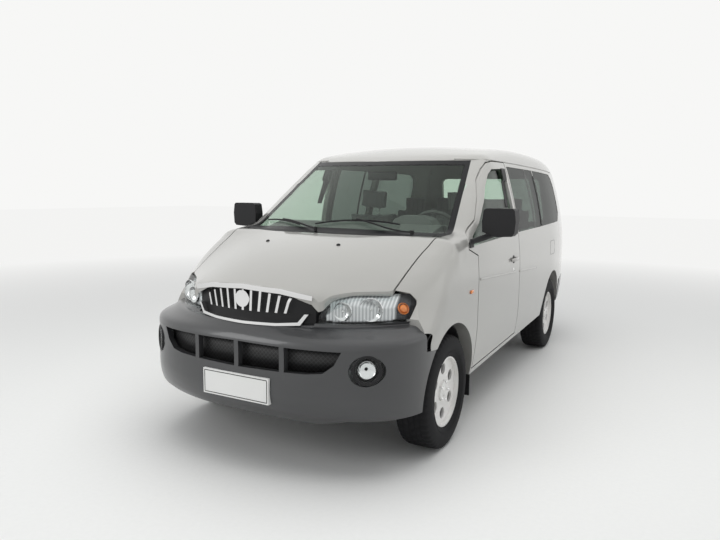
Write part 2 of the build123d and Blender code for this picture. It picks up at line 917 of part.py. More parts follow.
def side_frame():
    web = box(web_x, floor_half, firewall, wheelbase - 470, sill_top, slab_bottom)
    front = box(*front_rail_x, -760, -200, *front_rail_z)
    front = front & nose_solid(lamp_depth + carrier_wall, 300, 700)
    front = front + box(*front_rail_x, -200, 520, *front_rail_z)
    front = front + box(*front_rail_x, firewall, 520, front_rail_z[1], slab_bottom)
    rear = box(*rear_rail_x, 480, tail - 60, *rear_rail_z) & inner
    brace = box(front_rail_x[0], web_x, 480, 520, front_rail_z[0], slab_bottom)
    hangers = box(*rear_rail_x, 2270, 2310, 430, rear_rail_z[0])
    hangers = hangers + box(*rear_rail_x, 3310, 3350, 430, rear_rail_z[0])
    post = box(690, floor_half, 460, 520, slab_bottom, 1090)
    mount = box(*rear_rail_x, 700, 760, 300, rear_rail_z[0])
    eye = box(eye_x - 30, front_rail_x[0], eye_station - 40, eye_station + 40, front_rail_z[0],
              front_rail_z[0] + eye_thick)
    eye_hole = Pos(eye_x, eye_station + front_axle_y, front_rail_z[0]) * Cylinder(eye_radius, 4 * eye_thick)
    pad = box(*front_rail_x, -260, -140, front_rail_z[0] - pad_thick, front_rail_z[0])
    return web + (front + rear + brace + hangers + post + mount + pad + (eye - eye_hole))


slab = box(-floor_half, floor_half, firewall, floor_back, slab_bottom, floor_z)
slab = slab + box(-side_out, side_out, 1500, floor_back, slab_bottom, floor_z)
slab = (slab & inner) - both(wheel_room())
floor_pan = slab + both(side_frame()) + box(-540, 540, 700, 760, 270, 300)
floor_pan = (floor_pan & box(-side_out, side_out, -900, tail, 200, 1300)) + both(wheelhouse(rear_track) & inner)
keep("floor_pan", floor_pan)


def liner():
    """The arch over a front wheel, inside the fender and the bumper."""
    arch = ring_x(front_rail_x[1], 872, 0, axle_z, arch_radius, liner_radius)
    inside = rod_x(front_rail_x[1], front_rail_x[1] + liner_wall, 0, axle_z, arch_radius)
    return (arch + inside) & box(0, side_out, -500, 500, front_rail_z[1], 900)


keep("front_arch_liners", both(liner() & inner))

wall_thick = 30
shelf_z = 1120
bulkhead_line = [(firewall, floor_z), (firewall, 700), (300, 1000), (170, shelf_z),
                 (170, shelf_z + wall_thick), (200, shelf_z + wall_thick), (330, 1012),
                 (460, 712), (460, floor_z)]
bulkhead = side_prism(bulkhead_line, -floor_half + 70, floor_half - 70)


def cowl_wall(gap, z0, z1):
    corner = (hood_corner[0], hood_corner[1] + gap)
    front = plan_arc((-corner[0], corner[1]), (0, hood_back + gap), corner)
    rest = plan_line([corner, (corner[0], 300), (-corner[0], 300), (-corner[0], corner[1])])
    return plan_prism([front, rest], z0, z1)


cowl_gap = 14
shelf = cowl_wall(cowl_gap, shelf_z, shelf_z + wall_thick) & box(-690, 690, -50, 200, 1000, 1300)
upright = cowl_wall(cowl_gap, shelf_z, 1400) - cowl_wall(cowl_gap + 12, shelf_z - 10, 1410)
bulkhead = bulkhead + shelf + (upright & inner)
keep("bulkhead", bulkhead)

# Cabin ---------------------------------------------------------------------------------------------

dash_line = [(70, shelf_z + wall_thick), (95, 1205), (455, 1290), (590, 1288), (640, 1255),
             (655, 1180), (612, 1080), (570, 960), (530, 860), (490, 860), (400, 1010),
             (275, shelf_z + wall_thick)]
dash_half = 640
dash_wide = 680
wheel_x = 400
wheel_station = 985
wheel_z = 1210
wheel_tilt = 28
cluster = front_prism([(wheel_x - 165, 1270), (wheel_x - 130, 1325), (wheel_x - 70, 1350),
                       (wheel_x + 70, 1350), (wheel_x + 130, 1325), (wheel_x + 165, 1270)],
                      500, 650)
dashboard = side_prism(dash_line, -dash_half, dash_half)
wide_dash = side_prism(dash_line, -dash_wide, dash_wide) & box(-900, 900, 505, 700, 800, 1400)
dash_room = box(-800, 800, -50, 300, shelf_z, 1300) - cowl_wall(cowl_gap + 17, shelf_z - 10, 1310)
dashboard = dashboard + wide_dash + (cluster & side_prism(
    [(500, 1270), (530, 1345), (600, 1352), (650, 1335), (650, 1230), (500, 1230)], 0, 900))

tilt = math.radians(wheel_tilt)
column_axis = Vector(0, math.cos(tilt), math.sin(tilt))
column_radius = 30
shaft_radius = 12


def on_column(distance):
    """A place on the steering column's axis, from the wheel's centre."""
    return Vector(wheel_x, wheel_station + front_axle_y, wheel_z) + column_axis * distance


def column_rod(start, end, radius):
    plane = Plane(origin=on_column(start), x_dir=(1, 0, 0), z_dir=column_axis)
    return extrude(plane * Circle(radius), end - start)


column_top = -60
column = column_rod(-420, column_top, column_radius) - column_rod(-110, column_top + 5, shaft_radius + fit)
dashboard = (dashboard & inner) - dash_room
keep("dashboard", dashboard + column)

rim_major = 176
rim_minor = 14
steering_plane = Plane(origin=on_column(0), x_dir=(1, 0, 0), z_dir=column_axis)
steering_wheel = steering_plane * Torus(rim_major, rim_minor)
steering_wheel = steering_wheel + column_rod(-50, -8, 62)
for angle in (15, 165, 270):
    spoke = Rot(0, 0, angle) * (Pos(rim_major / 2 + 15, 0, -14) * Box(rim_major - 40, 34, 14))
    steering_wheel = steering_wheel + steering_plane * spoke
steering_wheel = steering_wheel + column_rod(-105, -8, shaft_radius)
keep("steering_wheel", steering_wheel)

seat_x = 400
seat_half = 250
cushion_line = [(1020, 800), (1030, 925), (1090, 945), (1440, 915), (1500, 900), (1500, 790)]
back_line = [(1400, 960), (1462, 1335), (1490, 1345), (1560, 1335), (1580, 1300), (1530, 920),
             (1515, 905)]
headrest_line = [(1478, 1375), (1470, 1530), (1490, 1552), (1545, 1545), (1560, 1500), (1555, 1375)]
bench_rows = ((1900, 620), (2690, 585))
bench_cushion = [(0, 780), (10, 900), (60, 920), (440, 890), (470, 780)]
bench_back = [(400, 935), (470, 1335), (560, 1345), (585, 1300), (500, 895), (480, 880)]
bench_headrest = [(482, 1365), (478, 1470), (500, 1485), (550, 1480), (562, 1365)]


def shifted(line, place):
    return [(s + place, z) for s, z in line]


def headrest(line, x, half):
    """A headrest on its two posts."""
    low = line[0][1]
    middle = (line[0][0] + line[-1][0]) / 2
    block = side_prism(line, x - half, x + half)
    for post in (x - half / 2, x + half / 2):
        place = Pos(post, middle + front_axle_y, low - 20)
        block = block + place * Cylinder(7, 60)
    return block


front_cushion = side_prism(cushion_line, seat_x - seat_half, seat_x + seat_half)
front_back = side_prism(back_line, seat_x - seat_half + 10, seat_x + seat_half - 10)
front_back = front_back + headrest(headrest_line, seat_x, 130)
keep("front_seat_cushions", both(front_cushion))
keep("front_seat_backs", both(front_back))
bench_cushions = Part()
bench_backs = Part()
seat_frames = both(box(seat_x - 200, seat_x + 200, 1090, 1450, floor_z, 790 - seat_gap))
for place, half in bench_rows:
    bench_cushions = bench_cushions + side_prism(shifted(bench_cushion, place), -half, half)
    back = side_prism(shifted(bench_back, place), -half, half)
    for x in (-half * 2 / 3, 0, half * 2 / 3):
        back = back + headrest(shifted(bench_headrest, place), x, 120)
    bench_backs = bench_backs + back
    for x in (-half + 60, half - 120):
        seat_frames = seat_frames + box(x, x + 60, place + 60, place + 430, floor_z, 780 - seat_gap)
keep("bench_cushions", bench_cushions)
keep("bench_backs", bench_backs)
keep("seat_frames", seat_frames)

# Engine, driveline and what hangs below --------------------------------------------------------------

engine_half = 230
engine_low = 420
gearbox_back = 900
gearbox_low = 330
engine = box(-engine_half, engine_half, -300, engine_half, engine_low, 1000)
engine = engine + box(-150, 150, engine_half, gearbox_back, gearbox_low, slab_bottom - 5)
keep("engine", engine)
diff_radius = 120
propshaft = rod_between((0, gearbox_back + 1.3, 400), (0, wheelbase - diff_radius - 1.3, axle_z + 5), 35)
keep("propshaft", propshaft)

axle_radius = 45
stub_radius = 20
hub_gap = 5
rear_hub = rear_track / 2 - 55
spring_top = 288
rear_axle = rod_x(-rear_hub + hub_gap, rear_hub - hub_gap, wheelbase, axle_z, axle_radius)
rear_axle = rear_axle + rod_x(-100, 100, wheelbase, axle_z, diff_radius)
rear_axle = rear_axle + rod_x(-rear_hub - 75, rear_hub + 75, wheelbase, axle_z, stub_radius)
spring_pad = box(465, 545, wheelbase - 45, wheelbase + 45, spring_top, axle_z)
damper_pad = box(395, 440, wheelbase - 110, wheelbase, 305, axle_z)
keep("rear_axle", rear_axle + both(spring_pad) + both(damper_pad))
spring_line = [(2310.5, 470), (2360, 440), (2500, 360), (2660, 300), (2740, spring_top),
               (2880, spring_top), (2960, 300), (3120, 360), (3260, 440), (3309.5, 470),
               (3309.5, 434), (3260, 405), (3120, 325), (2960, 262), (2880, 248), (2740, 248),
               (2660, 262), (2500, 325), (2360, 405), (2310.5, 434)]
leaf_spring = side_prism(spring_line, 475, 535)
rear_damper = rod_between((417, 2745, 298), (417, 2600, 640), 24)
rear_damper = rear_damper & box(0, 900, 2500, 2900, axle_z, slab_bottom)
keep("rear_suspension", both(leaf_spring) + both(rear_damper))

exhaust_path = [(-engine_half + 1, 150, 470), (-320, 260, 380), (-320, 1500, 350), (-350, 1560, 350),
                (-350, 2150, 350), (-350, 2480, 465), (-350, 3060, 465), (-350, 3300, 300),
                (-350, tail - 40, 300)]
pipe_radius = 24
exhaust = Part()
for a, b in zip(exhaust_path, exhaust_path[1:]):
    exhaust = exhaust + rod_between(a, b, pipe_radius)
    exhaust = exhaust + Pos(b[0], b[1] + front_axle_y, b[2]) * Sphere(pipe_radius)
exhaust = exhaust + box(-425, -275, 1620, 2080, 300, 405)
exhaust = exhaust + box(-355, -345, 1800, 1840, 400, slab_bottom)
exhaust = exhaust + box(-355, -345, 2780, 2800, 480, slab_bottom)
exhaust = exhaust - box(-engine_half, engine_half, -400, engine_half, 300, 1000)
keep("exhaust", exhaust)
tank_line = [(1500, slab_bottom), (2150, slab_bottom), (2150, 370), (2110, 335), (1540, 335), (1500, 370)]
keep("fuel_tank", side_prism(tank_line, 140, 455))
spare_radius = 300
spare_width = 150
spare = Pos(0, 3370 + front_axle_y, 460) * (Cylinder(spare_radius, spare_width) - Cylinder(180, spare_width + 2))
spare = spare + Pos(0, 3370 + front_axle_y, 420) * Cylinder(182, 30)
spare = spare + Pos(0, 3370 + front_axle_y, (slab_bottom + 420) / 2) * Cylinder(18, slab_bottom - 420)
keep("spare_wheel", spare)

# Front suspension and steering ------------------------------------------------------------------------

kingpin_x = 700
kingpin_radius = 10
upright_z = (255, 445)
arm_gap = 5
lower_arm_z = (222, upright_z[0] - arm_gap)
upper_arm_z = (upright_z[1] + arm_gap, 480)
subframe = box(-430, 430, -60, 60, 215, 275)
subframe = subframe + both(box(front_rail_x[0], 430, -60, 60, 275, front_rail_z[0]))
subframe = subframe + both(box(150, 215, -45, 45, 275, engine_low))


def plan_plate(points, z0, z1):
    outline = [(x, s + front_axle_y) for x, s in points]
    return extrude(Plane.XY.offset(z0) * make_face(Polyline(*outline, close=True)), z1 - z0)


def kingpin(z0, z1, radius):
    return Pos(kingpin_x, front_axle_y, (z0 + z1) / 2) * Cylinder(radius, z1 - z0)


lower_arm = plan_plate([(430, -60), (570, -42), (690, -30), (725, -20), (725, 20), (690, 30),
                        (570, 42), (430, 60)], *lower_arm_z)
lower_arm = lower_arm + kingpin(lower_arm_z[0], upright_z[0] + 35, kingpin_radius)
upper_arm = plan_plate([(front_rail_x[1], -85), (640, -30), (725, -20), (725, 20), (640, 30),
                        (front_rail_x[1], 85)], *upper_arm_z)
upper_arm = upper_arm - plan_plate([(front_rail_x[1] - 1, -55), (600, -12), (600, 12),
                                    (front_rail_x[1] - 1, 55)], upper_arm_z[0] - 1, upper_arm_z[1] + 1)
upper_arm = upper_arm + kingpin(upright_z[1] - 35, upper_arm_z[1], kingpin_radius)
tower = box(front_rail_x[1], 545, -30, 30, 495, front_rail_z[1])
front_damper = rod_between((505, 0, lower_arm_z[1]), (505, 0, 495), 19)
keep("front_suspension", both(lower_arm + front_damper + tower + upper_arm))

rack = rod_x(-420, 420, 160, 300, 22) + rod_x(-500, 500, 160, 300, 9)
rack = rack + both(box(150, 200, 60, 175, 238, 300))
keep("front_subframe", subframe + rack)

front_hub = front_track / 2 - 55
spindle_end = front_track / 2 + 20
upright = box(kingpin_x - 25, front_hub - hub_gap, -32, 32, *upright_z)
upright = upright + rod_x(kingpin_x, spindle_end, 0, axle_z, stub_radius)
upright = upright - kingpin(upright_z[0] - 1, upright_z[0] + 40, kingpin_radius + fit)
upright = upright - kingpin(upright_z[1] - 40, upright_z[1] + 1, kingpin_radius + fit)
steering_arm = plan_plate([(kingpin_x - 25, 20), (front_hub - hub_gap, 20), (kingpin_x - 5, 150),
                           (kingpin_x - 35, 150)], 285, 305)
disc_x = front_hub + 14
disc_thick = 12
disc_radius = 128
caliper = box(kingpin_x - 10, disc_x + disc_thick + 22, -160, -60, 300, 376)
caliper = caliper - box(disc_x - hub_gap, disc_x + disc_thick + hub_gap, -140, -50, 290, 386)
caliper = caliper - rod_x(disc_x - hub_gap, disc_x + disc_thick + hub_gap, 0, axle_z, disc_radius + hub_gap)
caliper = caliper + box(kingpin_x - 10, front_hub - hub_gap, -70, -30, 310, 366)
knuckle = upright + steering_arm + caliper
keep("knuckle_left", knuckle)
keep("knuckle_right", mirrored(knuckle))

# Wheels --------------------------------------------------------------------------------------------------

barrel_wall = 9
barrel_half = 88
disc_face = 62
window_count = 6
tyre_line = [(-84, rim_radius), (-98, rim_radius + 14), (-107.5, 275), (-104, 308), (-88, 332),
             (-60, tyre_radius), (60, tyre_radius), (88, 332), (104, 308), (107.5, 275),
             (98, rim_radius + 14), (84, rim_radius)]


def wheel_rod(centre, x0, x1, station, radius):
    return rod_x(centre + x0, centre + x1, station, axle_z, radius)


def rim(centre, station):
    """A wheel: barrel, pierced face, hub and brake disc, about the axle."""
    barrel = wheel_rod(centre, -barrel_half, barrel_half, station, rim_radius)
    barrel = barrel - wheel_rod(centre, -barrel_half - 1, barrel_half + 1, station,
                                rim_radius - barrel_wall)
    face = wheel_rod(centre, disc_face - 14, disc_face, station, rim_radius - barrel_wall + 0.5)
    for i in range(window_count):
        angle = (i + 0.5) * 2 * math.pi / window_count
        hole_s = station + 136 * math.cos(angle)
        hole_z = 136 * math.sin(angle)
        window = rod_x(centre + disc_face - 20, centre + disc_face + 5, hole_s, axle_z + hole_z, 34)
        face = face - window
    hub = wheel_rod(centre, -55, disc_face - 10, station, 46)
    hub = hub + wheel_rod(centre, disc_face - 10, disc_face + 12, station, 62)
    disc = wheel_rod(centre, disc_x - front_track / 2, disc_x + disc_thick - front_track / 2,
                     station, disc_radius)
    bore = wheel_rod(centre, -56, 22, station, stub_radius + fit)
    return barrel + face + hub + disc - bore


def tyre(centre, station):
    outline = [(centre + x, station + front_axle_y, axle_z + r) for x, r in tyre_line]
    face = make_face(Polyline(*outline, close=True))
    return revolve(face, Axis((0, station + front_axle_y, axle_z), (1, 0, 0)), 360)


front_rim = rim(front_track / 2, 0)
rear_rim = rim(rear_track / 2, wheelbase)
front_tyre = tyre(front_track / 2, 0)
rear_tyre = tyre(rear_track / 2, wheelbase)
keep("wheel_front_left", front_rim)
keep("wheel_front_right", mirrored(front_rim))
keep("wheel_rear_left", rear_rim)
keep("wheel_rear_right", mirrored(rear_rim))
keep("tyre_front_left", front_tyre)
keep("tyre_front_right", mirrored(front_tyre))
keep("tyre_rear_left", rear_tyre)
keep("tyre_rear_right", mirrored(rear_tyre))

# Mirrors, wipers and mudflaps ----------------------------------------------------------------------------

mirror_front = 480
mirror_shape = [(905, 1262), (902, 1330), (912, 1400), (930, 1410), (1098, 1410), (1110, 1398),
                  (1118, 1330), (1112, 1255), (1094, 1236), (1000, 1230), (950, 1240)]
mirror_body = front_prism(mirror_shape, mirror_front, mirror_front + 90)
mirror_arm = rod_between((875, 345, 1200), (965, mirror_front + 45, 1243), 18)
sail_line = [(sail_station + 16, belt_z + 20), (sail_station + 90, belt_z + 22),
             (sail_station + 92, belt_z + 62), (sail_station + 84, belt_z + 70),
             (sail_station + 30, belt_z + 52)]
sail = side_prism(sail_line, 850, 920)
sail = (sail & body_tube(-6, -6, sill_z)) - outer
door_mirror = mirror_body + (mirror_arm - outer) + sail
keep("mirror_left", door_mirror)
keep("mirror_right", mirrored(door_mirror))


blade_clear = 5
blade_height = 11
blade_width = 9
arm_height = 10
boss_radius = 12
boss_height = 26
boss_clear = 4


def glass_strip(start, end, low, high, width):
    """An upright strip that follows the glass from one plan place to another."""
    run = Vector(end[0] - start[0], end[1] - start[1])
    steps = 6
    bottom = []
    for i in range(steps + 1):
        place = start[0] + run.X * i / steps, start[1] + run.Y * i / steps
        bottom.append((run.length * i / steps, top_height(*place)))
    outline = [(d, z + low) for d, z in bottom] + [(d, z + high) for d, z in reversed(bottom)]
    upright = run.normalized().cross(Vector(0, 0, 1))
    plane = Plane(origin=(start[0], start[1] + front_axle_y, 0), x_dir=run.normalized(), z_dir=upright)
    return extrude(plane * make_face(Polyline(*outline, close=True)), width / 2, both=True)


def wiper(pivot, blade_start, blade_end):
    """One wiper: its boss on the cowl, its arm and its blade on the glass."""
    middle = (blade_start[0] + blade_end[0]) / 2, (blade_start[1] + blade_end[1]) / 2
    boss_low = top_height(*pivot) + boss_clear
    boss = Pos(pivot[0], pivot[1] + front_axle_y, boss_low + boss_height / 2)
    blade = glass_strip(blade_start, blade_end, blade_clear, blade_clear + blade_height, blade_width)
    arm_low = blade_clear + blade_height - 2
    arm = glass_strip(pivot, middle, arm_low, arm_low + arm_height, blade_width + 4)
    return boss * Cylinder(boss_radius, boss_height) + arm + blade


wipers = wiper((577, 118), (455, 205), (-110, 95)) + wiper((-62, 22), (-240, 105), (-640, 295))
keep("wipers", wipers)


flap_thick = 6
front_flap_back = 429.7


def mudflap(station, x0, x1, top):
    return box(x0, x1, station, station + flap_thick, 190, top)


front_flap = mudflap(front_flap_back - flap_thick, 705, 872, 400) & box(0, 900, 300, 500, 0, sill_z)
rear_flap = mudflap(wheelbase + 418, 690, 850, sill_z + 70)
keep("mudflaps", both(front_flap) + both(rear_flap - outer))
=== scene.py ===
import json
import math
import bmesh
import bpy
from mathutils import Matrix, Vector
from mathutils.bvhtree import BVHTree


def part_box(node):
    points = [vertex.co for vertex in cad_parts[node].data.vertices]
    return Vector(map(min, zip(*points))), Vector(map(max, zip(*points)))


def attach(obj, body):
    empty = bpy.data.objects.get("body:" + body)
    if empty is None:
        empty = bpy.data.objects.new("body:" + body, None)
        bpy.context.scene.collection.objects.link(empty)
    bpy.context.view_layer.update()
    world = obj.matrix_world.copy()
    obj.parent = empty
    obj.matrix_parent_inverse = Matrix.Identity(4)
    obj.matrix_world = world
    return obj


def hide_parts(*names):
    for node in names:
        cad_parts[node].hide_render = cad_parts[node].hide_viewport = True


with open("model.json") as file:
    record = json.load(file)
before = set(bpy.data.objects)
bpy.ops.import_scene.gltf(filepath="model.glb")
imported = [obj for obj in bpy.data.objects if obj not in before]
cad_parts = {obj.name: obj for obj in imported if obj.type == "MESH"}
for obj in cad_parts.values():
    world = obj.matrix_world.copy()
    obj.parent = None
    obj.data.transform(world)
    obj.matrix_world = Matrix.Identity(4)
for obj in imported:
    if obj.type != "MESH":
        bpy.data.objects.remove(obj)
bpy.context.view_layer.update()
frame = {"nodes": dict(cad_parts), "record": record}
nodes = frame["nodes"]
print("frame loaded:", len(nodes), "nodes")


def middle(node):
    low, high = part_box(node)
    return (low + high) / 2


axle = middle("wheel_front_left")


def place(x, station, z):
    # station is the distance behind the front axle
    return Vector((x, station + axle.y, z))


# Shader maths: one wrapped socket, and a tree that makes nodes

class Value:
    def __init__(self, finish, socket):
        self.finish = finish
        self.socket = socket

    def maths(self, operation, first, second=0.0, clamp=False):
        settings = {"operation": operation, "use_clamp": clamp}
        return self.finish.node("ShaderNodeMath", settings, {0: first, 1: second})

    def __add__(self, other):
        return self.maths("ADD", self, other)

    def __radd__(self, other):
        return self.maths("ADD", other, self)

    def __sub__(self, other):
        return self.maths("SUBTRACT", self, other)

    def __rsub__(self, other):
        return self.maths("SUBTRACT", other, self)

    def __mul__(self, other):
        return self.maths("MULTIPLY", self, other)

    def __gt__(self, other):
        return self.maths("GREATER_THAN", self, other)

    def __lt__(self, other):
        return self.maths("LESS_THAN", self, other)

    def size(self):
        return self.maths("ABSOLUTE", self)

    def wave(self):
        return self.maths("SINE", self)

    def either(self, other):
        return self.maths("MAXIMUM", self, other)

    def both(self, other):
        return self.maths("MINIMUM", self, other)

    def edge(self, width):
        # 0 below zero, rising to 1 over the width
        return self.maths("DIVIDE", self, width, True)


class Finish:
    def __init__(self, name):
        self.material = bpy.data.materials.new(name)
        self.material.use_nodes = True
        self.tree = self.material.node_tree
        self.tree.nodes.clear()
        self.coordinates = self.tree.nodes.new("ShaderNodeTexCoord")

    def node(self, kind, settings=None, sockets=None, output=0):
        made = self.tree.nodes.new(kind)
        for key, setting in (settings or {}).items():
            setattr(made, key, setting)
        for key, value in (sockets or {}).items():
            if isinstance(value, Value):
                self.tree.links.new(value.socket, made.inputs[key])
            else:
                made.inputs[key].default_value = value
        return Value(self, made.outputs[output])

    def spot(self):
        return Value(self, self.coordinates.outputs["Object"])

    def facing(self):
        return Value(self, self.coordinates.outputs["Normal"])

    def parts(self, vector):
        split = self.tree.nodes.new("ShaderNodeSeparateXYZ")
        self.tree.links.new(vector.socket, split.inputs[0])
        return [Value(self, output) for output in split.outputs]

    def noise(self, scale, detail=3.0):
        return self.node("ShaderNodeTexNoise", {}, {"Vector": self.spot(), "Scale": scale, "Detail": detail})

    def colour(self, factor, first, second):
        return self.node("ShaderNodeMix", {"data_type": "RGBA"}, {0: factor, 6: first, 7: second}, 2)

    def bump(self, height, strength, distance):
        return self.node("ShaderNodeBump", {}, {"Height": height, "Strength": strength, "Distance": distance})

    def glance(self):
        # how much a pane reflects: little face on, much at a low angle, and alike from both sides
        low = self.node("ShaderNodeLayerWeight", {}, {"Blend": 0.5}, 1)
        return low * low * low * low * 0.4 + 0.025

    def surface(self, sockets):
        return self.node("ShaderNodeBsdfPrincipled", {}, sockets)

    def end(self, shader):
        output = self.tree.nodes.new("ShaderNodeOutputMaterial")
        self.tree.links.new(shader.socket, output.inputs["Surface"])
        return self.material


def shade(tone, factor):
    return (tone[0] * factor, tone[1] * factor, tone[2] * factor, 1.0)


def solidFinish(name, look):
    finish = Finish(name)
    grain = finish.noise(look["grain"], 4.0)
    broad = finish.noise(look.get("broad", 3.0), 2.0)
    spread = look.get("spread", 0.12)
    tone = finish.colour(broad, shade(look["colour"], 1 - spread), shade(look["colour"], 1 + spread))
    roughness = (grain - 0.5) * look.get("roughSpread", 0.12) + look["rough"]
    bump = finish.bump(grain, look.get("bump", 0.15), look.get("depth", 0.0006))
    sockets = {"Base Color": tone, "Roughness": roughness, "Normal": bump, "Metallic": look.get("metal", 0.0)}
    sockets["Coat Weight"] = look.get("coat", 0.0)
    sockets["Specular IOR Level"] = look.get("shine", 0.5)
    sockets["Coat Roughness"] = 0.05
    return finish.end(finish.surface(sockets))


paintLook = {"silver": (0.37, 0.365, 0.345), "lining": (0.27, 0.265, 0.255), "headliner": (0.42, 0.415, 0.40),
             "under": (0.03, 0.03, 0.032), "metal": 0.35, "rough": 0.36, "flake": 900.0}


def paintFinish():
    # outside: silver flakes under clear coat; inside: lining, lighter towards the roof
    look = paintLook
    finish = Finish("silverPaint")
    x, y, z = finish.parts(finish.spot())
    normalX, normalY, normalZ = finish.parts(finish.facing())
    spine = y.maths("MINIMUM", y.maths("MAXIMUM", y, -1.0), 1.2)
    outward = normalX * x + normalY * (y - spine) + normalZ * (z - 0.9)
    outside = outward > 0.0
    flake = finish.noise(look["flake"], 1.0)
    broad = finish.noise(1.4, 2.0)
    silver = finish.colour(flake * 0.6 + broad * 0.4, shade(look["silver"], 0.9), shade(look["silver"], 1.1))
    cloth = finish.colour((z - 1.35).edge(0.15), shade(look["lining"], 1), shade(look["headliner"], 1))
    inside = finish.colour((z - 0.42).edge(0.05), shade(look["under"], 1), cloth)
    fuzz = finish.noise(350.0, 4.0)
    sockets = {"Base Color": finish.colour(outside, inside, silver), "Metallic": outside * look["metal"]}
    sockets["Roughness"] = outside * (look["rough"] - 0.85) + 0.85 + (flake - 0.5) * 0.04
    sockets["Coat Weight"] = outside
    sockets["Coat Roughness"] = 0.04
    sockets["Normal"] = finish.bump(fuzz * (1 - outside) + flake * outside * 0.03, 0.25, 0.0008)
    return finish.end(finish.surface(sockets))


def glassFinish(name, tint, fritMask=None):
    finish = Finish(name)
    smear = finish.noise(2.5, 2.0)
    see = finish.node("ShaderNodeBsdfTransparent", {}, {"Color": tint})
    normal = finish.bump(smear, 0.02, 0.001)
    gloss = finish.node("ShaderNodeBsdfAnisotropic", {}, {"Roughness": 0.02, "Normal": normal})
    pane = finish.node("ShaderNodeMixShader", {}, {0: finish.glance(), 1: see, 2: gloss})
    if fritMask:
        x, y, z = finish.parts(finish.spot())
        sockets = {"Base Color": (0.008, 0.008, 0.009, 1), "Roughness": 0.3, "Specular IOR Level": 0.2}
        black = finish.surface(sockets)
        pane = finish.node("ShaderNodeMixShader", {}, {0: fritMask(x, y - axle.y, z), 1: pane, 2: black})
    return finish.end(pane)


def screenFrit(x, station, z):
    # black border of the windscreen: bowed low and top edges, raked sides
    bow = x * x
    low = station - 0.030 - bow * 0.395
    top = 0.800 + bow * 0.5 - station
    side = 0.776 - (station - 0.268) * 0.1816 - x.size()
    return 1 - (low - 0.045).edge(0.006).both((top - 0.05).edge(0.006)).both((side - 0.035).edge(0.006))


windowLines = {"divider": 2.05, "lean": 0.06, "sill": 1.13, "half": 0.011}


def sideFrit(x, station, z):
    first = (station - windowLines["divider"] - (1.45 - z) * windowLines["lean"]).size() < windowLines["half"]
    return first.either(z < windowLines["sill"])


finishes = {
    "body_paint": paintFinish(),
    "bumper_paint": solidFinish("bumperPaint", {"colour": (0.055, 0.056, 0.058), "grain": 700.0,
                                                "rough": 0.36, "metal": 0.3, "coat": 0.5, "bump": 0.02}),
    "black_plastic": solidFinish("blackPlastic", {"colour": (0.010, 0.010, 0.011), "grain": 420.0,
                                                  "rough": 0.5, "shine": 0.3, "bump": 0.25}),
    "cabin_plastic": solidFinish("cabinPlastic", {"colour": (0.13, 0.13, 0.132), "grain": 500.0,
                                                  "rough": 0.62, "bump": 0.35}),
    "chrome": solidFinish("chrome", {"colour": (0.80, 0.80, 0.80), "grain": 60.0, "rough": 0.09, "metal": 1.0,
                                     "spread": 0.03, "roughSpread": 0.04, "bump": 0.01}),
    "chassis_steel": solidFinish("chassisSteel", {"colour": (0.035, 0.035, 0.037), "grain": 130.0,
                                                  "rough": 0.6, "metal": 0.3}),
    "cast_metal": solidFinish("castMetal", {"colour": (0.24, 0.24, 0.245), "grain": 240.0, "rough": 0.52,
                                            "metal": 0.8, "bump": 0.4}),
    "plate": solidFinish("plateWhite", {"colour": (0.80, 0.80, 0.78), "grain": 300.0, "rough": 0.4,
                                        "spread": 0.03, "bump": 0.03}),
    "wheel_paint": solidFinish("wheelPaint", {"colour": (0.80, 0.79, 0.77), "grain": 600.0,
                                              "rough": 0.34, "metal": 0.25, "coat": 0.5, "spread": 0.05,
                                              "bump": 0.03}),
    "tyre": solidFinish("tyreRubber", {"colour": (0.010, 0.010, 0.011), "grain": 260.0, "rough": 0.78,
                                       "bump": 0.3, "shine": 0.25}),
    "lamp_red": solidFinish("lampRed", {"colour": (0.42, 0.012, 0.012), "grain": 40.0, "rough": 0.14,
                                        "coat": 1.0}),
    "glass": glassFinish("greenGlass", (0.79, 0.86, 0.81, 1)),
}
screenGlass = glassFinish("screenGlass", (0.82, 0.87, 0.83, 1), screenFrit)
darkGlass = glassFinish("darkGlass", (0.36, 0.40, 0.38, 1), sideFrit)
lensGlass = glassFinish("lensGlass", (0.93, 0.95, 0.95, 1))
amberLens = solidFinish("amberLens", {"colour": (0.75, 0.20, 0.015), "grain": 60.0, "rough": 0.16,
                                      "coat": 1.0})
mirrorGlass = solidFinish("mirrorGlass", {"colour": (0.72, 0.75, 0.77), "grain": 20.0, "rough": 0.03,
                                          "metal": 1.0, "spread": 0.01, "roughSpread": 0.01, "bump": 0.0})


def clothFinish():
    # woven grey cloth with sewn channels running front to back
    finish = Finish("seatCloth")
    x, y, z = finish.parts(finish.spot())
    weave = ((x * 2600.0).wave() * ((y + z) * 2600.0).wave()) * 0.5 + 0.5
    channel = ((x * (math.tau / 0.09)).wave().size() < 0.12)
    fleck = finish.noise(180.0, 4.0)
    tone = finish.colour(fleck, (0.15, 0.15, 0.155, 1), (0.30, 0.30, 0.30, 1))
    tone = finish.colour(channel * 0.6, tone, (0.07, 0.07, 0.075, 1))
    normal = finish.bump(weave * 0.3 + fleck * 0.4 - channel, 0.5, 0.002)
    sockets = {"Base Color": tone, "Roughness": 0.92, "Normal": normal, "Sheen Weight": 0.35}
    return finish.end(finish.surface(sockets))


finishes["seat_cloth"] = clothFinish()
finishes["lamp_glass"] = lensGlass


def dress(thing, material):
    thing.data.materials.clear()
    thing.data.materials.append(material)


special = {"windscreen": screenGlass, "side_windows": darkGlass}
for row in frame["record"]["subparts"]:
    dress(nodes[row["node"]], special.get(row["node"], finishes[row["material_slot"]]))
print("finishes made")


# Mesh making

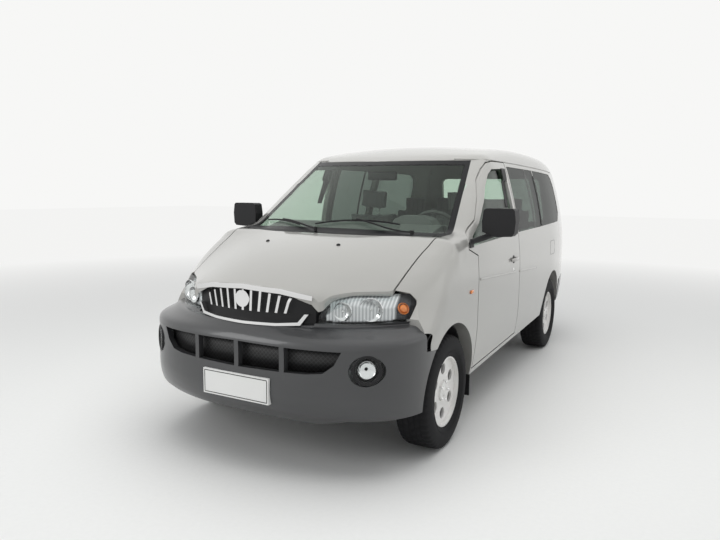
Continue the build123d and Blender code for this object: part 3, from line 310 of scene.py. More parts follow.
def addPiece(name, points, faces, material, slotName, body="root", smooth=True):
    mesh = bpy.data.meshes.new(name)
    mesh.from_pydata([tuple(p) for p in points], [], faces)
    bm = bmesh.new()
    bm.from_mesh(mesh)
    bmesh.ops.recalc_face_normals(bm, faces=bm.faces)
    bm.to_mesh(mesh)
    bm.free()
    for face in mesh.polygons:
        face.use_smooth = smooth
    piece = bpy.data.objects.new(name, mesh)
    bpy.context.scene.collection.objects.link(piece)
    mesh.materials.append(material)
    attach(piece, body)
    return piece


def gather(parts):
    # one list of points and faces from several
    points, faces = [], []
    for morePoints, moreFaces in parts:
        start = len(points)
        points += morePoints
        faces += [[start + i for i in face] for face in moreFaces]
    return points, faces


def lathe(profile, centre, axis, steps):
    # profile holds (distance along the axis, radius); open at both ends of the axis
    axis = Vector(axis).normalized()
    side = axis.orthogonal().normalized()
    up = axis.cross(side)
    points, faces = [], []
    for i in range(steps):
        turn = math.tau * i / steps
        spoke = side * math.cos(turn) + up * math.sin(turn)
        points += [Vector(centre) + axis * along + spoke * radius for along, radius in profile]
    count = len(profile)
    for i in range(steps):
        here, there = i * count, (i + 1) % steps * count
        faces += [[here + j, here + j + 1, there + j + 1, there + j] for j in range(count - 1)]
    return points, faces


def pipe(path, radius, steps=12):
    points, faces = [], []
    for i, spot in enumerate(path):
        ahead = (path[min(i + 1, len(path) - 1)] - path[max(i - 1, 0)]).normalized()
        side = ahead.cross(Vector((0.13, 0.27, 0.95))).normalized()
        up = ahead.cross(side)
        for j in range(steps):
            turn = math.tau * j / steps
            points.append(spot + (side * math.cos(turn) + up * math.sin(turn)) * radius)
    for i in range(len(path) - 1):
        for j in range(steps):
            k = (j + 1) % steps
            faces.append([i * steps + j, i * steps + k, (i + 1) * steps + k, (i + 1) * steps + j])
    faces.append(list(range(steps)))
    faces.append(list(range((len(path) - 1) * steps, len(path) * steps)))
    return points, faces


def band(path, across, out, width, height):
    # a raised strip along a path; across and out are one direction, or one for each point
    points, faces = [], []
    section = ((-0.5, 0), (-0.42, 0.8), (-0.25, 1), (0.25, 1), (0.42, 0.8), (0.5, 0))
    for i, spot in enumerate(path):
        wide = across[i] if isinstance(across, list) else across
        high = out[i] if isinstance(out, list) else out
        points += [spot + wide * width * u + high * height * v for u, v in section]
    count = len(section)
    for i in range(len(path) - 1):
        for j in range(count):
            k = (j + 1) % count
            faces.append([i * count + j, i * count + k, (i + 1) * count + k, (i + 1) * count + j])
    faces.append(list(range(count)))
    faces.append(list(range((len(path) - 1) * count, len(path) * count)))
    return points, faces


def softBlock(centre, size, bevel, turn=None):
    bm = bmesh.new()
    bmesh.ops.create_cube(bm, size=1.0)
    for vert in bm.verts:
        vert.co = Vector((vert.co.x * size[0], vert.co.y * size[1], vert.co.z * size[2]))
    bmesh.ops.bevel(bm, geom=bm.edges[:], offset=bevel, segments=3, profile=0.5, affect="EDGES")
    matrix = turn or Matrix.Identity(3)
    points = [Vector(centre) + matrix @ vert.co for vert in bm.verts]
    bm.verts.index_update()
    faces = [[vert.index for vert in face.verts] for face in bm.faces]
    bm.free()
    return points, faces


# Places on the skin, found by rays

def rayTree(names):
    points, faces = [], []
    for name in names:
        start = len(points)
        points += [vert.co.copy() for vert in nodes[name].data.vertices]
        faces += [[start + i for i in face.vertices] for face in nodes[name].data.polygons]
    return BVHTree.FromPolygons(points, faces)


skin = rayTree(["body_side_left", "body_side_right", "door_front_left", "door_front_right", "fenders", "hood",
                "roof_panel", "sliding_door_right", "tailgate", "front_bumper", "rear_bumper", "side_windows",
                "door_glass_left", "door_glass_right", "tailgate_glass", "front_lamps", "tail_lamps",
                "windscreen", "grille_chrome", "front_carrier", "cowl_panel"])


def sideSpot(side, station, z):
    hit = skin.ray_cast(Vector((side * 3, station + axle.y, z)), Vector((-side, 0, 0)))
    return hit[0], hit[1]


def frontSpot(x, z):
    hit = skin.ray_cast(Vector((x, -4, z)), Vector((0, 1, 0)))
    return hit[0], hit[1]


def rearSpot(x, z):
    hit = skin.ray_cast(Vector((x, 4, z)), Vector((0, -1, 0)))
    return hit[0], hit[1]


def outwardOf(normal, direction):
    return normal if normal.dot(direction) > 0 else -normal


# Tyres with a tread, in place of the plain rubber

tyreShape = {"tread": 0.084, "groove": 0.007, "segments": 200, "ribs": (-0.052, -0.018, 0.018, 0.052),
             "rim": 0.208, "crown": 0.0045, "bead": 0.1062, "beadRadii": (0.240, 0.285)}


def tyreProfile(low, high):
    radius, rim = (high.z - low.z) / 2, tyreShape["rim"]
    half = (high.x - low.x) / 2
    side = [(-0.088, rim + 0.001), (-0.098, rim + 0.012), (-half + 0.002, rim + 0.045), (-half, 0.272)]
    side += [(-half + 0.003, 0.298), (-0.098, radius - 0.020), (-0.092, radius - 0.009)]
    crown = []
    for i in range(33):
        along = -tyreShape["tread"] + 2 * tyreShape["tread"] * i / 32
        crown.append((along, radius - tyreShape["crown"] * (along / tyreShape["tread"]) ** 4))
    return side + crown + [(-along, r) for along, r in reversed(side)]


def makeTyre(node, body):
    low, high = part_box(node)
    profile = tyreProfile(low, high)
    centre, count = (low + high) / 2, len(profile)
    points, faces = lathe(profile, centre, (1, 0, 0), tyreShape["segments"])
    for index, spot in enumerate(points):
        along, radius = profile[index % count]
        if abs(along) > tyreShape["tread"] + 0.009 or radius < 0.325:
            continue
        step = index // count
        inGroove = any(abs(along - rib) < 0.0035 for rib in tyreShape["ribs"])
        shoulder = abs(along) > 0.055 and (step + (2 if along > 0 else 0)) % 4 == 0
        block = abs(along) < 0.05 and (step + int(round(along * 60))) % 5 == 0
        if inGroove or shoulder or block:
            spoke = Vector((0, spot.y - centre.y, spot.z - centre.z)).normalized()
            points[index] = spot - spoke * tyreShape["groove"]
    bead = []
    for sign in (-1, 1):
        for radius in tyreShape["beadRadii"]:
            face = sign * tyreShape["bead"]
            ring = [(face - 0.0012, radius - 0.002), (face + 0.0004 * sign, radius),
                    (face - 0.0012, radius + 0.002)]
            bead.append(lathe(ring, centre, (1, 0, 0), 96))
    tyre = addPiece(node + "_rubber", *gather([(points, faces)] + bead), finishes["tyre"], "tyre", body)
    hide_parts(node)


corners = {"front_left": 1, "front_right": -1, "rear_left": 1, "rear_right": -1}
wheelShape = {"nuts": 5, "circle": 0.055, "nut": 0.0105, "face": 0.066}
for corner, side in corners.items():
    makeTyre("tyre_" + corner, "wheel_" + corner)
    centre = middle("wheel_" + corner)
    faceX = centre.x + side * wheelShape["face"]
    nuts = []
    for i in range(wheelShape["nuts"]):
        turn = math.tau * i / wheelShape["nuts"]
        spot = Vector((faceX, centre.y + wheelShape["circle"] * math.cos(turn),
                       centre.z + wheelShape["circle"] * math.sin(turn)))
        nuts.append(lathe([(-0.004, 0.0145), (0.002, 0.0135), (0.002, wheelShape["nut"]),
                           (0.013, wheelShape["nut"] - 0.001), (0.016, 0.005), (0.016, 0.0001)],
                          spot, (side, 0, 0), 6))
    addPiece("nuts_" + corner, *gather(nuts), finishes["chrome"], "chrome", "wheel_" + corner, False)
    cap = lathe([(0.0, 0.034), (0.010, 0.033), (0.016, 0.027), (0.0175, 0.012), (0.018, 0.0001)],
                Vector((faceX - side * 0.003, centre.y, centre.z)), (side, 0, 0), 40)
    ring = lathe([(0.016, 0.021), (0.0195, 0.0225), (0.0155, 0.024)],
                 Vector((faceX - side * 0.003, centre.y, centre.z)), (side, 0, 0), 40)
    addPiece("cap_" + corner, *gather([cap, ring]), finishes["wheel_paint"], "wheel_paint", "wheel_" + corner)
print("wheels dressed")


# Seats: swollen by a cloth simulation inside their own space

seatShape = {"voxel": 0.012, "pressure": 4.0, "frames": 20, "cap": 0.024, "shell": 0.016,
             "smoothing": 22, "quality": 4}


def makeSeat(node):
    source = nodes[node]
    low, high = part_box(node)
    mesh = source.data.copy()
    seat = bpy.data.objects.new(node + "_padded", mesh)
    bpy.context.scene.collection.objects.link(seat)
    bpy.context.view_layer.objects.active = seat
    bpy.ops.object.select_all(action="DESELECT")
    seat.select_set(True)
    remesh = seat.modifiers.new("remesh", "REMESH")
    remesh.mode = "VOXEL"
    remesh.voxel_size = seatShape["voxel"]
    bpy.ops.object.modifier_apply(modifier="remesh")
    smooth = seat.modifiers.new("smooth", "SMOOTH")
    smooth.iterations = seatShape["smoothing"]
    bpy.ops.object.modifier_apply(modifier="smooth")
    inner = seat.modifiers.new("inner", "DISPLACE")
    inner.mid_level = 0.0
    inner.strength = -seatShape["shell"]
    bpy.ops.object.modifier_apply(modifier="inner")
    before = [vert.co.copy() for vert in seat.data.vertices]
    cloth = seat.modifiers.new("cloth", "CLOTH")
    cloth.settings.use_pressure = True
    cloth.settings.uniform_pressure_force = seatShape["pressure"]
    cloth.settings.effector_weights.gravity = 0.0
    cloth.settings.quality = seatShape["quality"]
    cloth.point_cache.frame_start = 1
    cloth.point_cache.frame_end = seatShape["frames"]
    for step in range(1, seatShape["frames"] + 1):
        bpy.context.scene.frame_set(step)
    bpy.ops.object.modifier_apply(modifier="cloth")
    bpy.context.scene.frame_set(1)
    for vert, start in zip(seat.data.vertices, before):
        shift = vert.co - start
        if shift.length > seatShape["cap"]:
            vert.co = start + shift.normalized() * seatShape["cap"]
        for k in range(3):
            vert.co[k] = min(max(vert.co[k], low[k] + 0.001), high[k] - 0.001)
    divide = seat.modifiers.new("divide", "SUBSURF")
    divide.levels = 1
    divide.render_levels = 1
    bpy.ops.object.modifier_apply(modifier="divide")
    for face in seat.data.polygons:
        face.use_smooth = True
    dress(seat, finishes["seat_cloth"])
    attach(seat, "root")
    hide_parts(node)


for node in ("front_seat_cushions", "front_seat_backs", "bench_cushions", "bench_backs"):
    makeSeat(node)
    print("seat done:", node)


# Headlamps: clear covers with bowls and bulbs inside them

lampShape = {"main": (0.644, 0.890, 0.060), "inner": (0.522, 0.884, 0.046), "amber": (0.779, 0.902, 0.028),
             "behind": 0.016, "flutes": 36}


def bowl(spot, facing, radius, depth):
    profile = [(0.0, radius + 0.004), (0.003, radius + 0.002), (0.001, radius)]
    for i in range(1, 9):
        share = i / 8
        profile.append((-depth * (1 - (1 - share) ** 2), radius * (1 - share) + 0.009))
    return lathe(profile, spot, facing, lampShape["flutes"])


def bulb(spot, facing, radius, length):
    profile = [(0.0, radius), (length * 0.6, radius), (length * 0.85, radius * 0.8), (length, 0.0002)]
    return lathe(profile, spot, facing, 20)


for side, word in ((1, "left"), (-1, "right")):
    bowls, bulbs = [], []
    for key in ("main", "inner"):
        x, z, radius = lampShape[key]
        spot, normal = frontSpot(side * x, z)
        normal = outwardOf(normal, Vector((0, -1, 0)))
        ahead = Vector((normal.x * 0.4, normal.y, 0)).normalized()
        seat = spot - ahead * (lampShape["behind"] + radius * 0.25)
        bowls.append(bowl(seat, ahead, radius, radius * 0.55))
        bulbs.append(bulb(seat - ahead * radius * 0.5, ahead, 0.008, 0.026))
    addPiece("lamp_bowls_" + word, *gather(bowls), finishes["chrome"], "chrome", "root", False)
    addPiece("lamp_bulbs_" + word, *gather(bulbs), finishes["plate"], "lamp_glass")
    x, z, radius = lampShape["amber"]
    spot, normal = frontSpot(side * x, z)
    normal = outwardOf(normal, Vector((0, -1, 0)))
    amber = bowl(spot - normal * 0.024, normal, radius, 0.012)
    dome = bulb(spot - normal * 0.032, normal, radius * 0.8, 0.018)
    addPiece("lamp_amber_" + word, *gather([amber, dome]), amberLens, "lamp_glass")


def trayFinish():
    # bright fluted reflector, darker towards the corner of the nose
    finish = Finish("lampTray")
    x, y, z = finish.parts(finish.spot())
    flute = (x * 420.0).wave() * 0.5 + 0.5
    tone = finish.colour(flute, (0.50, 0.50, 0.51, 1), (0.86, 0.86, 0.86, 1))
    corner = (x.size() - 0.722).edge(0.012)
    tone = finish.colour(corner, tone, (0.05, 0.05, 0.055, 1))
    sockets = {"Base Color": tone, "Metallic": 0.45, "Roughness": 0.28}
    sockets["Normal"] = finish.bump(flute, 0.5, 0.002)
    return finish.end(finish.surface(sockets))


tray = {"step": 0.006, "behind": 0.052, "low": 0.800, "high": 0.965, "near": 0.43, "far": 0.835,
        "thick": 0.002}
lensTree = rayTree(["front_lamps"])
trayShade = trayFinish()
for side, word in ((1, "left"), (-1, "right")):
    columns = int((tray["far"] - tray["near"]) / tray["step"])
    rows = int((tray["high"] - tray["low"]) / tray["step"])
    known, points, faces = {}, [], []
    for i in range(columns + 1):
        for j in range(rows + 1):
            x, z = side * (tray["near"] + i * tray["step"]), tray["low"] + j * tray["step"]
            hit = lensTree.ray_cast(Vector((x, -4, z)), Vector((0, 1, 0)))[0]
            if hit is not None:
                known[i, j] = len(points)
                points.append(Vector((x, hit.y + tray["behind"], z)))
    for i in range(columns):
        for j in range(rows):
            square = [(i, j), (i + 1, j), (i + 1, j + 1), (i, j + 1)]
            if all(corner in known for corner in square):
                faces.append([known[corner] for corner in square])
    made = addPiece("lamp_tray_" + word, points, faces, trayShade, "chrome")
    thicken = made.modifiers.new("thicken", "SOLIDIFY")
    thicken.thickness = tray["thick"]
    bpy.context.view_layer.objects.active = made
    bpy.ops.object.modifier_apply(modifier="thicken")
print("lamps made")


# Trim that follows the skin

def alongSkin(side, stations, height, lift=0.0):
    path, out = [], []
    for station in stations:
        spot, normal = sideSpot(side, station, height(station))
        normal = outwardOf(normal, Vector((side, 0, 0)))
        path.append(spot + normal * lift)
        out.append(normal)
    across = []
    for i, normal in enumerate(out):
        ahead = path[min(i + 1, len(path) - 1)] - path[max(i - 1, 0)]
        across.append(normal.cross(ahead).normalized())
    return path, across, out


def spread(first, last, count):
    return [first + (last - first) * i / (count - 1) for i in range(count)]


trim = {"handleFront": 1.205, "handleRear": 1.375, "handleHeight": 1.010, "handle": (0.026, 0.009),
        "lock": (1.29, 0.935), "repeater": (0.299, 0.898), "rail": (0.95, 3.30, 34), "railTop": 1.748,
        "railSection": (0.012, 0.006)}
lockProfile = [(0, 0.013), (0.002, 0.0125), (0.002, 0.0085), (0.0035, 0.008), (0.0035, 0.0002)]
aft = Vector((0, 1, 0))

for side, word in ((1, "left"), (-1, "right")):
    doorBody = "door_" + word
    stations = spread(trim["handleFront"], trim["handleRear"], 12)
    path, across, out = alongSkin(side, stations, lambda s: trim["handleHeight"])
    arch = [0.004 + 0.016 * math.sin(math.pi * i / 11) ** 0.5 for i in range(len(path))]
    grip = [spot + out[i] * arch[i] for i, spot in enumerate(path)]
    handle = band(grip, across, out, *trim["handle"])
    cup = lathe([(0.0002, 0.030), (0.0015, 0.030), (0.0012, 0.0001)], (path[5] + path[6]) / 2, out[5], 32)
    addPiece("handle_" + word, *handle, finishes["body_paint"], "body_paint", doorBody)
    addPiece("handle_cup_" + word, *cup, finishes["black_plastic"], "black_plastic", doorBody)
    spot, normal = sideSpot(side, *trim["lock"])
    normal = outwardOf(normal, Vector((side, 0, 0)))
    addPiece("lock_" + word, *lathe(lockProfile, spot, normal, 28), finishes["chrome"], "chrome", doorBody)
    spot, normal = sideSpot(side, *trim["repeater"])
    normal = outwardOf(normal, Vector((side, 0, 0)))
    repeater = band([spot + aft * (d - 0.03) for d in (0.0, 0.02, 0.04, 0.06)],
                    normal.cross(aft).normalized(), normal, 0.022, 0.008)
    addPiece("repeater_" + word, *repeater, amberLens, "lamp_glass")
    rail = alongSkin(side, spread(*trim["rail"]), lambda s: trim["railTop"] - 0.0075 * (s - 1.4) ** 2)
    addPiece("drip_rail_" + word, *band(*rail, *trim["railSection"]), finishes["body_paint"], "body_paint")

rimShape = {"inset": 0.010, "wide": 0.004, "high": 0.0015}
for node in ("front_plate", "rear_plate"):
    low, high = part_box(node)
    body = "tailgate" if node == "rear_plate" else "root"
    inset = rimShape["inset"]
    front = low.y if node == "front_plate" else high.y
    direction = -1 if node == "front_plate" else 1
    rim = []
    cornersAt = [(low.x + inset, low.z + inset), (high.x - inset, low.z + inset),
                 (high.x - inset, high.z - inset), (low.x + inset, high.z - inset)]
    for i in range(4):
        (x0, z0), (x1, z1) = cornersAt[i], cornersAt[(i + 1) % 4]
        path = [Vector((x0, front, z0)), Vector((x1, front, z1))]
        ahead = (path[1] - path[0]).normalized()
        outward = Vector((0, direction, 0))
        rim.append(band(path, ahead.cross(outward), outward, rimShape["wide"], rimShape["high"]))
    addPiece(node + "_rim", *gather(rim), finishes["black_plastic"], "black_plastic", body)
print("trim made")


# Cabin: vents, radio and mirrors

cabin = {"ventX": (-0.62, -0.08, 0.08, 0.62), "ventZ": 1.13, "vent": (0.13, 0.008, 0.006), "radioZ": 1.02,
         "radio": (0.19, 0.01, 0.05), "mirror": (0.24, 0.03, 0.065), "doorMirror": (0.165, 0.004, 0.145)}
dashTree = rayTree(["dashboard"])


def cabinSpot(x, z):
    return dashTree.ray_cast(Vector((x, 1.0 + axle.y, z)), Vector((0, -1, 0)))[0]


vents = []
for x in cabin["ventX"]:
    spot = cabinSpot(x, cabin["ventZ"])
    if spot:
        vents += [softBlock(spot + Vector((0, 0.004, dz)), cabin["vent"], 0.0015)
                  for dz in (-0.028, -0.014, 0, 0.014, 0.028)]
if vents:
    addPiece("dash_vents", *gather(vents), finishes["black_plastic"], "black_plastic")
radioSpot = cabinSpot(0.0, cabin["radioZ"])
if radioSpot:
    rows = [softBlock(radioSpot + Vector((0, 0.004, dz)), cabin["radio"], 0.003) for dz in (-0.03, 0.03)]
    knobs = [lathe([(0, 0.013), (0.014, 0.012), (0.015, 0.0002)], radioSpot + Vector((dx, 0.009, -0.03)),
                   (0, 1, 0), 24) for dx in (-0.07, 0, 0.07)]
    addPiece("radio_panel", *gather(rows + knobs), finishes["black_plastic"], "black_plastic")
mirrorAt = place(0.0, 0.86, 1.625)
addPiece("cabin_mirror", *softBlock(mirrorAt, cabin["mirror"], 0.012), finishes["black_plastic"],
         "black_plastic")
for side, word in ((1, "left"), (-1, "right")):
    low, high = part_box("mirror_" + word)
    glassAt = Vector(((low.x + high.x) / 2 + side * 0.02, high.y + 0.001, 1.325))
    pane = softBlock(glassAt, cabin["doorMirror"], 0.0018)
    addPiece("mirror_glass_" + word, *pane, mirrorGlass, "glass", "door_" + word)
print("cabin dressed")


# Panels of trim laid on the skin

def topSpot(x, station):
    hit = skin.ray_cast(Vector((x, station + axle.y, 4)), Vector((0, 0, -1)))
    return hit[0], hit[1]


def patch(side, corners, lift, columns=8, rows=14):
    # a thin slab on the side of the body; corners are (station, z): low front, low rear, top rear, top front
    front, back = [], []
    for j in range(rows + 1):
        for i in range(columns + 1):
            u, v = i / columns, j / rows
            lowStation = corners[0][0] * (1 - u) + corners[1][0] * u
            lowZ = corners[0][1] * (1 - u) + corners[1][1] * u
            topStation = corners[3][0] * (1 - u) + corners[2][0] * u
            topZ = corners[3][1] * (1 - u) + corners[2][1] * u
            spot, normal = sideSpot(side, lowStation * (1 - v) + topStation * v, lowZ * (1 - v) + topZ * v)
            if spot is None:
                return None
            back.append(spot)
        row = back[-columns - 1:]
        widest = max(abs(spot.x) for spot in row)
        back[-columns - 1:] = [Vector((side * widest, spot.y, spot.z)) for spot in row]
        front += [spot + Vector((side * lift, 0, 0)) for spot in back[-columns - 1:]]
    count = (columns + 1) * (rows + 1)
    faces = []
    for j in range(rows):
        for i in range(columns):
            a = j * (columns + 1) + i
            faces.append([a, a + 1, a + columns + 2, a + columns + 1])
            faces.append([count + a, count + a + columns + 1, count + a + columns + 2, count + a + 1])
    rim = list(range(columns + 1)) + [(j + 1) * (columns + 1) - 1 for j in range(1, rows + 1)]
    rim += list(range(count - 2, count - columns - 2, -1))
    rim += [j * (columns + 1) for j in range(rows - 1, 0, -1)]
    for i, a in enumerate(rim):
        b = rim[(i + 1) % len(rim)]
        faces.append([a, b, count + b, count + a])
    return front + back, faces


pillar = {"trim": [(1.265, 1.400), (1.333, 1.400), (1.414, 1.693), (1.300, 1.693)], "thick": 0.002}
crease = {"start": 0.445, "level": 0.957, "fall": 0.0535, "wide": 0.016, "high": 0.003,
          "door": (0.46, 1.36, 30), "side": (1.46, 2.06, 20)}
nose = {"nozzle": (0.257, -0.226), "fog": (0.709, 0.617), "fogBowl": (0.044, 0.022), "fogBehind": 0.016}


def creaseAlong(side, stretch):
    def height(station):
        return crease["level"] - crease["fall"] * (station - crease["start"])

    return band(*alongSkin(side, spread(*stretch), height), crease["wide"], crease["high"])


for side, word in ((1, "left"), (-1, "right")):
    made = patch(side, pillar["trim"], pillar["thick"])
    if made:
        addPiece("pillar_trim_" + word, *made, finishes["black_plastic"], "black_plastic", "door_" + word)
    addPiece("door_crease_" + word, *creaseAlong(side, crease["door"]), finishes["body_paint"], "body_paint",
             "door_" + word)
    addPiece("side_crease_" + word, *creaseAlong(side, crease["side"]), finishes["body_paint"], "body_paint")
    spot, normal = topSpot(side * nose["nozzle"][0], nose["nozzle"][1])
    nozzle = lathe([(-0.001, 0.013), (0.004, 0.012), (0.008, 0.007), (0.009, 0.0002)],
                   spot, outwardOf(normal, Vector((0, 0, 1))), 20)
    addPiece("washer_nozzle_" + word, *nozzle, finishes["black_plastic"], "black_plastic", "hood")
    fogAt, fogNormal = frontSpot(side * nose["fog"][0], nose["fog"][1])
    fogNormal = outwardOf(fogNormal, Vector((0, -1, 0)))
    ring = lathe([(-0.010, 0.078), (0.003, 0.077), (0.005, 0.070), (0.002, 0.063), (-0.010, 0.060)],
                 fogAt, fogNormal, 48)
    addPiece("fog_ring_" + word, *ring, finishes["black_plastic"], "black_plastic")
    fogBowl = bowl(fogAt - fogNormal * nose["fogBehind"], fogNormal, *nose["fogBowl"])
    addPiece("fog_bowl_" + word, *fogBowl, finishes["chrome"], "chrome", "root", False)

flap = {"front": 2.620, "rear": 2.820, "low": 0.935, "high": 1.062, "corner": 0.022}
flapPath, flapOut = [], []
for cx, cz, start in ((flap["rear"], flap["high"], 0), (flap["front"], flap["high"], 90),
                      (flap["front"], flap["low"], 180), (flap["rear"], flap["low"], 270)):
    inX = -1 if cx == flap["rear"] else 1
    inZ = -1 if cz == flap["high"] else 1
    for k in range(7):
        turn = math.radians(start + 15 * k)
        spot, normal = sideSpot(1, cx + inX * flap["corner"] + flap["corner"] * math.cos(turn),
                                cz + inZ * flap["corner"] + flap["corner"] * math.sin(turn))
        flapPath.append(spot)
        flapOut.append(outwardOf(normal, Vector((1, 0, 0))))
flapPath.append(flapPath[0])
flapOut.append(flapOut[0])
flapAcross = [flapOut[i].cross(flapPath[min(i + 1, 28)] - flapPath[max(i - 1, 0)]).normalized()
              for i in range(len(flapPath))]
addPiece("fuel_flap_seam", *band(flapPath, flapAcross, flapOut, 0.004, 0.0008), finishes["black_plastic"],
         "black_plastic")

intake = {"half": 0.605, "low": 0.572, "high": 0.722, "behind": 0.042, "thick": 0.004, "above": 0.750,
          "columns": 61, "pitch": 0.024}


def meshWithPaintedShadeFinish():
    # black diamond mesh: raised wires over openings that are painted shade, a near-black colour on a solid
    # sheet where the hollow behind the intake is dark
    finish = Finish("intakeMeshWithPaintedShade")
    x, y, z = finish.parts(finish.spot())
    turns = math.pi / intake["pitch"]
    wire = ((x + z) * turns).wave().size().both(((x - z) * turns).wave().size()) < 0.30
    # painted shade: the openings get near-black colour in place of the dark hollow behind the mesh
    tone = finish.colour(wire, (0.003, 0.003, 0.003, 1), (0.028, 0.028, 0.030, 1))
    sockets = {"Base Color": tone, "Roughness": 0.5, "Normal": finish.bump(wire, 0.9, 0.004)}
    return finish.end(finish.surface(sockets))


# a flat panel behind the intake openings: the real mesh wires, and painted shade between them
front, back = [], []
for z in (intake["low"], intake["high"]):
    for x in spread(-intake["half"], intake["half"], intake["columns"]):
        spot, normal = frontSpot(x, intake["above"])
        front.append(Vector((x, spot.y + intake["behind"], z)))
        back.append(Vector((x, spot.y + intake["behind"] + intake["thick"], z)))
count, columns = len(front), intake["columns"]
meshFaces = []
for i in range(columns - 1):
    meshFaces.append([i, i + 1, columns + i + 1, columns + i])
    meshFaces.append([count + i, count + columns + i, count + columns + i + 1, count + i + 1])
    meshFaces.append([i, count + i, count + i + 1, i + 1])
    meshFaces.append([columns + i, columns + i + 1, count + columns + i + 1, count + columns + i])
for i in (0, columns - 1):
    meshFaces.append([i, columns + i, count + columns + i, count + i])
addPiece("intake_mesh_with_painted_shade", front + back, meshFaces, meshWithPaintedShadeFinish(), "black_plastic")


# Dark strips over the posts between the side panes

panes = rayTree(["side_windows"])


def postStations(side, z):
    # where, behind the first pane, a ray at this height meets no pane
    misses = []
    started = False
    for station in spread(1.50, 3.30, 451):
        hit = panes.ray_cast(Vector((side * 3, station + axle.y, z)), Vector((-side, 0, 0)), 3.0)
        if hit[0] is not None:
            if started and misses:
                return misses
            started = True
        elif started:
            misses.append(station)
    return []


for side, word in ((1, "left"), (-1, "right")):
    path, out, wide = [], [], []
    for z in spread(1.14, 1.66, 14):
        stations = postStations(side, z)
        if stations and stations[-1] - stations[0] < 0.12:
            spot, normal = sideSpot(side, (stations[0] + stations[-1]) / 2, z)
            path.append(spot)
            out.append(outwardOf(normal, Vector((side, 0, 0))))
            wide.append(stations[-1] - stations[0])
    if len(path) > 3:
        strip = band(path, Vector((0, 1, 0)), out, max(wide) + 0.006, 0.002)
        addPiece("post_strip_" + word, *strip, finishes["black_plastic"], "black_plastic")


# Tail: lamps in bands, rear wiper and handle

def tailLampFinish():
    finish = Finish("tailLampLens")
    x, y, z = finish.parts(finish.spot())
    middleBand = (z > 1.0).both(z < 1.055)
    amberBand = (z > 1.055).both(z < 1.12)
    tone = finish.colour(amberBand, (0.42, 0.012, 0.012, 1), (0.75, 0.20, 0.015, 1))
    tone = finish.colour(middleBand, tone, (0.72, 0.72, 0.72, 1))
    prism = (z * 900.0).wave() * (y * 900.0).wave()
    sockets = {"Base Color": tone, "Roughness": 0.14, "Coat Weight": 1.0}
    sockets["Normal"] = finish.bump(prism, 0.25, 0.001)
    return finish.end(finish.surface(sockets))


dress(nodes["tail_lamps"], tailLampFinish())


def alongRear(spots, lift):
    path = []
    for x, z in spots:
        spot, normal = rearSpot(x, z)
        path.append(spot + outwardOf(normal, Vector((0, 1, 0))) * lift)
    return path


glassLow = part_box("tailgate_glass")[0]
pivotX, pivotZ = 0.0, glassLow.z - 0.035
arm = [(pivotX + (-0.16 - pivotX) * t, pivotZ + 0.105 * t) for t in spread(0, 1, 10)]
blade = [(x, glassLow.z + 0.07) for x in spread(-0.36, 0.04, 16)]
armPiece = pipe(alongRear(arm, 0.016), 0.006)
bladePiece = pipe(alongRear(blade, 0.008), 0.005)
spot, normal = rearSpot(pivotX, pivotZ)
boss = lathe([(0, 0.017), (0.016, 0.015), (0.020, 0.009), (0.021, 0.0002)], spot,
             outwardOf(normal, Vector((0, 1, 0))), 28)
addPiece("rear_wiper", *gather([armPiece, bladePiece, boss]), finishes["black_plastic"], "black_plastic",
         "tailgate")
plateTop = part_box("rear_plate")[1].z
grip = alongRear([(x, plateTop + 0.045) for x in spread(-0.30, 0.30, 24)], 0.001)
addPiece("tailgate_handle", *band(grip, Vector((0, 0, 1)), Vector((0, 1, 0)), 0.042, 0.016),
         finishes["body_paint"], "body_paint", "tailgate")
print("trim and tail made")


# Floor, light and camera

def floorFinish():
    finish = Finish("paleFloor")
    grain = finish.noise(40.0, 3.0)
    tone = finish.colour(grain, (0.77, 0.77, 0.75, 1), (0.81, 0.81, 0.79, 1))
    lit = finish.surface({"Base Color": tone, "Roughness": 0.6})
    x, y, z = finish.parts(finish.spot())
    away = x.maths("SQRT", x * x + y * y)
    pale = finish.node("ShaderNodeEmission", {}, {"Color": (0.90, 0.90, 0.89, 1), "Strength": 1.0})
    return finish.end(finish.node("ShaderNodeMixShader", {}, {0: (away - 3.2).edge(7.0), 1: lit, 2: pale}))


floorHalf = 40.0
floorMesh = bpy.data.meshes.new("floor")
floorCorners = [(u * floorHalf, v * floorHalf, 0) for u, v in ((-1, -1), (1, -1), (1, 1), (-1, 1))]
floorMesh.from_pydata(floorCorners, [], [[0, 1, 2, 3]])
floor = bpy.data.objects.new("floor", floorMesh)
bpy.context.scene.collection.objects.link(floor)
floorMesh.materials.append(floorFinish())

world = bpy.data.worlds.new("studio")
bpy.context.scene.world = world
world.use_nodes = True
worldTree = world.node_tree
worldTree.nodes.clear()
pathNode = worldTree.nodes.new("ShaderNodeLightPath")


def backdrop(colour, strength):
    made = worldTree.nodes.new("ShaderNodeBackground")
    made.inputs["Color"].default_value = colour
    made.inputs["Strength"].default_value = strength
    return made


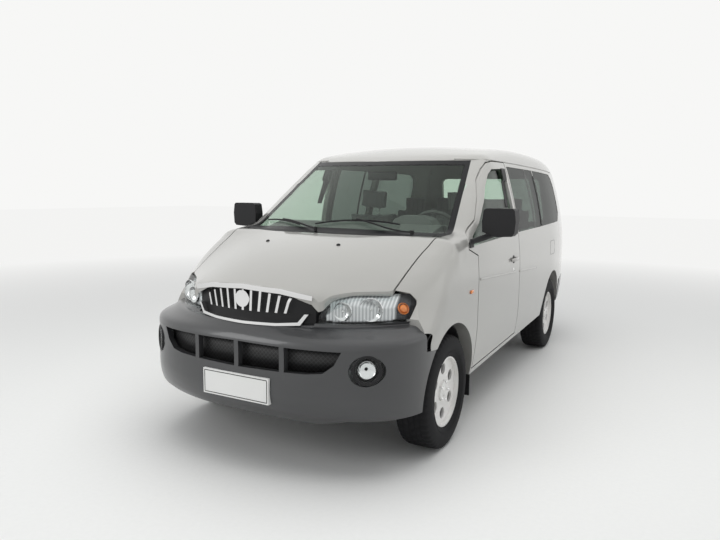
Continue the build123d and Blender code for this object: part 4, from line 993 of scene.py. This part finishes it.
lit = backdrop((0.95, 0.97, 1.0, 1), 0.55)
shown = backdrop((0.93, 0.93, 0.92, 1), 1.0)
pick = worldTree.nodes.new("ShaderNodeMixShader")
seen = worldTree.nodes.new("ShaderNodeMath")
seen.operation = "MAXIMUM"
also = worldTree.nodes.new("ShaderNodeMath")
also.operation = "MAXIMUM"
worldTree.links.new(pathNode.outputs["Is Camera Ray"], seen.inputs[0])
worldTree.links.new(pathNode.outputs["Is Transmission Ray"], seen.inputs[1])
worldTree.links.new(pathNode.outputs["Is Glossy Ray"], also.inputs[0])
worldTree.links.new(seen.outputs[0], also.inputs[1])
worldTree.links.new(also.outputs[0], pick.inputs[0])
worldTree.links.new(lit.outputs[0], pick.inputs[1])
worldTree.links.new(shown.outputs[0], pick.inputs[2])
worldOut = worldTree.nodes.new("ShaderNodeOutputWorld")
worldTree.links.new(pick.outputs[0], worldOut.inputs[0])

# each lamp: its place, what it points at, watts, size
lamps = {"ceiling": ((0.5, -1.0, 5.5), (0, 0, 0.8), 235, 6.0),
         "front": ((-3.5, -7.0, 3.5), (0, -1, 0.8), 85, 3.0),
         "side": ((6.5, 0.5, 3.2), (0, 0, 0.9), 20, 4.0)}
for name, (spot, target, power, size) in lamps.items():
    light = bpy.data.lights.new(name, "AREA")
    light.energy = power
    light.size = size
    lamp = bpy.data.objects.new(name, light)
    bpy.context.scene.collection.objects.link(lamp)
    lamp.location = spot
    lamp.visible_glossy = name != "ceiling"
    lamp.rotation_euler = (Vector(target) - Vector(spot)).to_track_quat("-Z", "Y").to_euler()

eye = {"place": (2.1095, -4.8585, 1.5086), "yaw": 0.495647, "down": 0.125898, "roll": 0.010583, "lens": 31.07}
ahead = Vector((-math.sin(eye["yaw"]) * math.cos(eye["down"]), math.cos(eye["yaw"]) * math.cos(eye["down"]),
                -math.sin(eye["down"])))
right = ahead.cross(Vector((0, 0, 1))).normalized()
up = right.cross(ahead)
rolledRight = right * math.cos(eye["roll"]) + up * math.sin(eye["roll"])
rolledUp = -right * math.sin(eye["roll"]) + up * math.cos(eye["roll"])
cameraData = bpy.data.cameras.new("camera")
cameraData.lens = eye["lens"]
cameraData.sensor_width = 36.0
camera = bpy.data.objects.new("camera", cameraData)
bpy.context.scene.collection.objects.link(camera)
camera.matrix_world = Matrix.Translation(Vector(eye["place"])) @ Matrix(
    (rolledRight, rolledUp, -ahead)).transposed().to_4x4()
bpy.context.scene.camera = camera
bpy.context.scene.view_settings.view_transform = "Standard"
print("stage set")
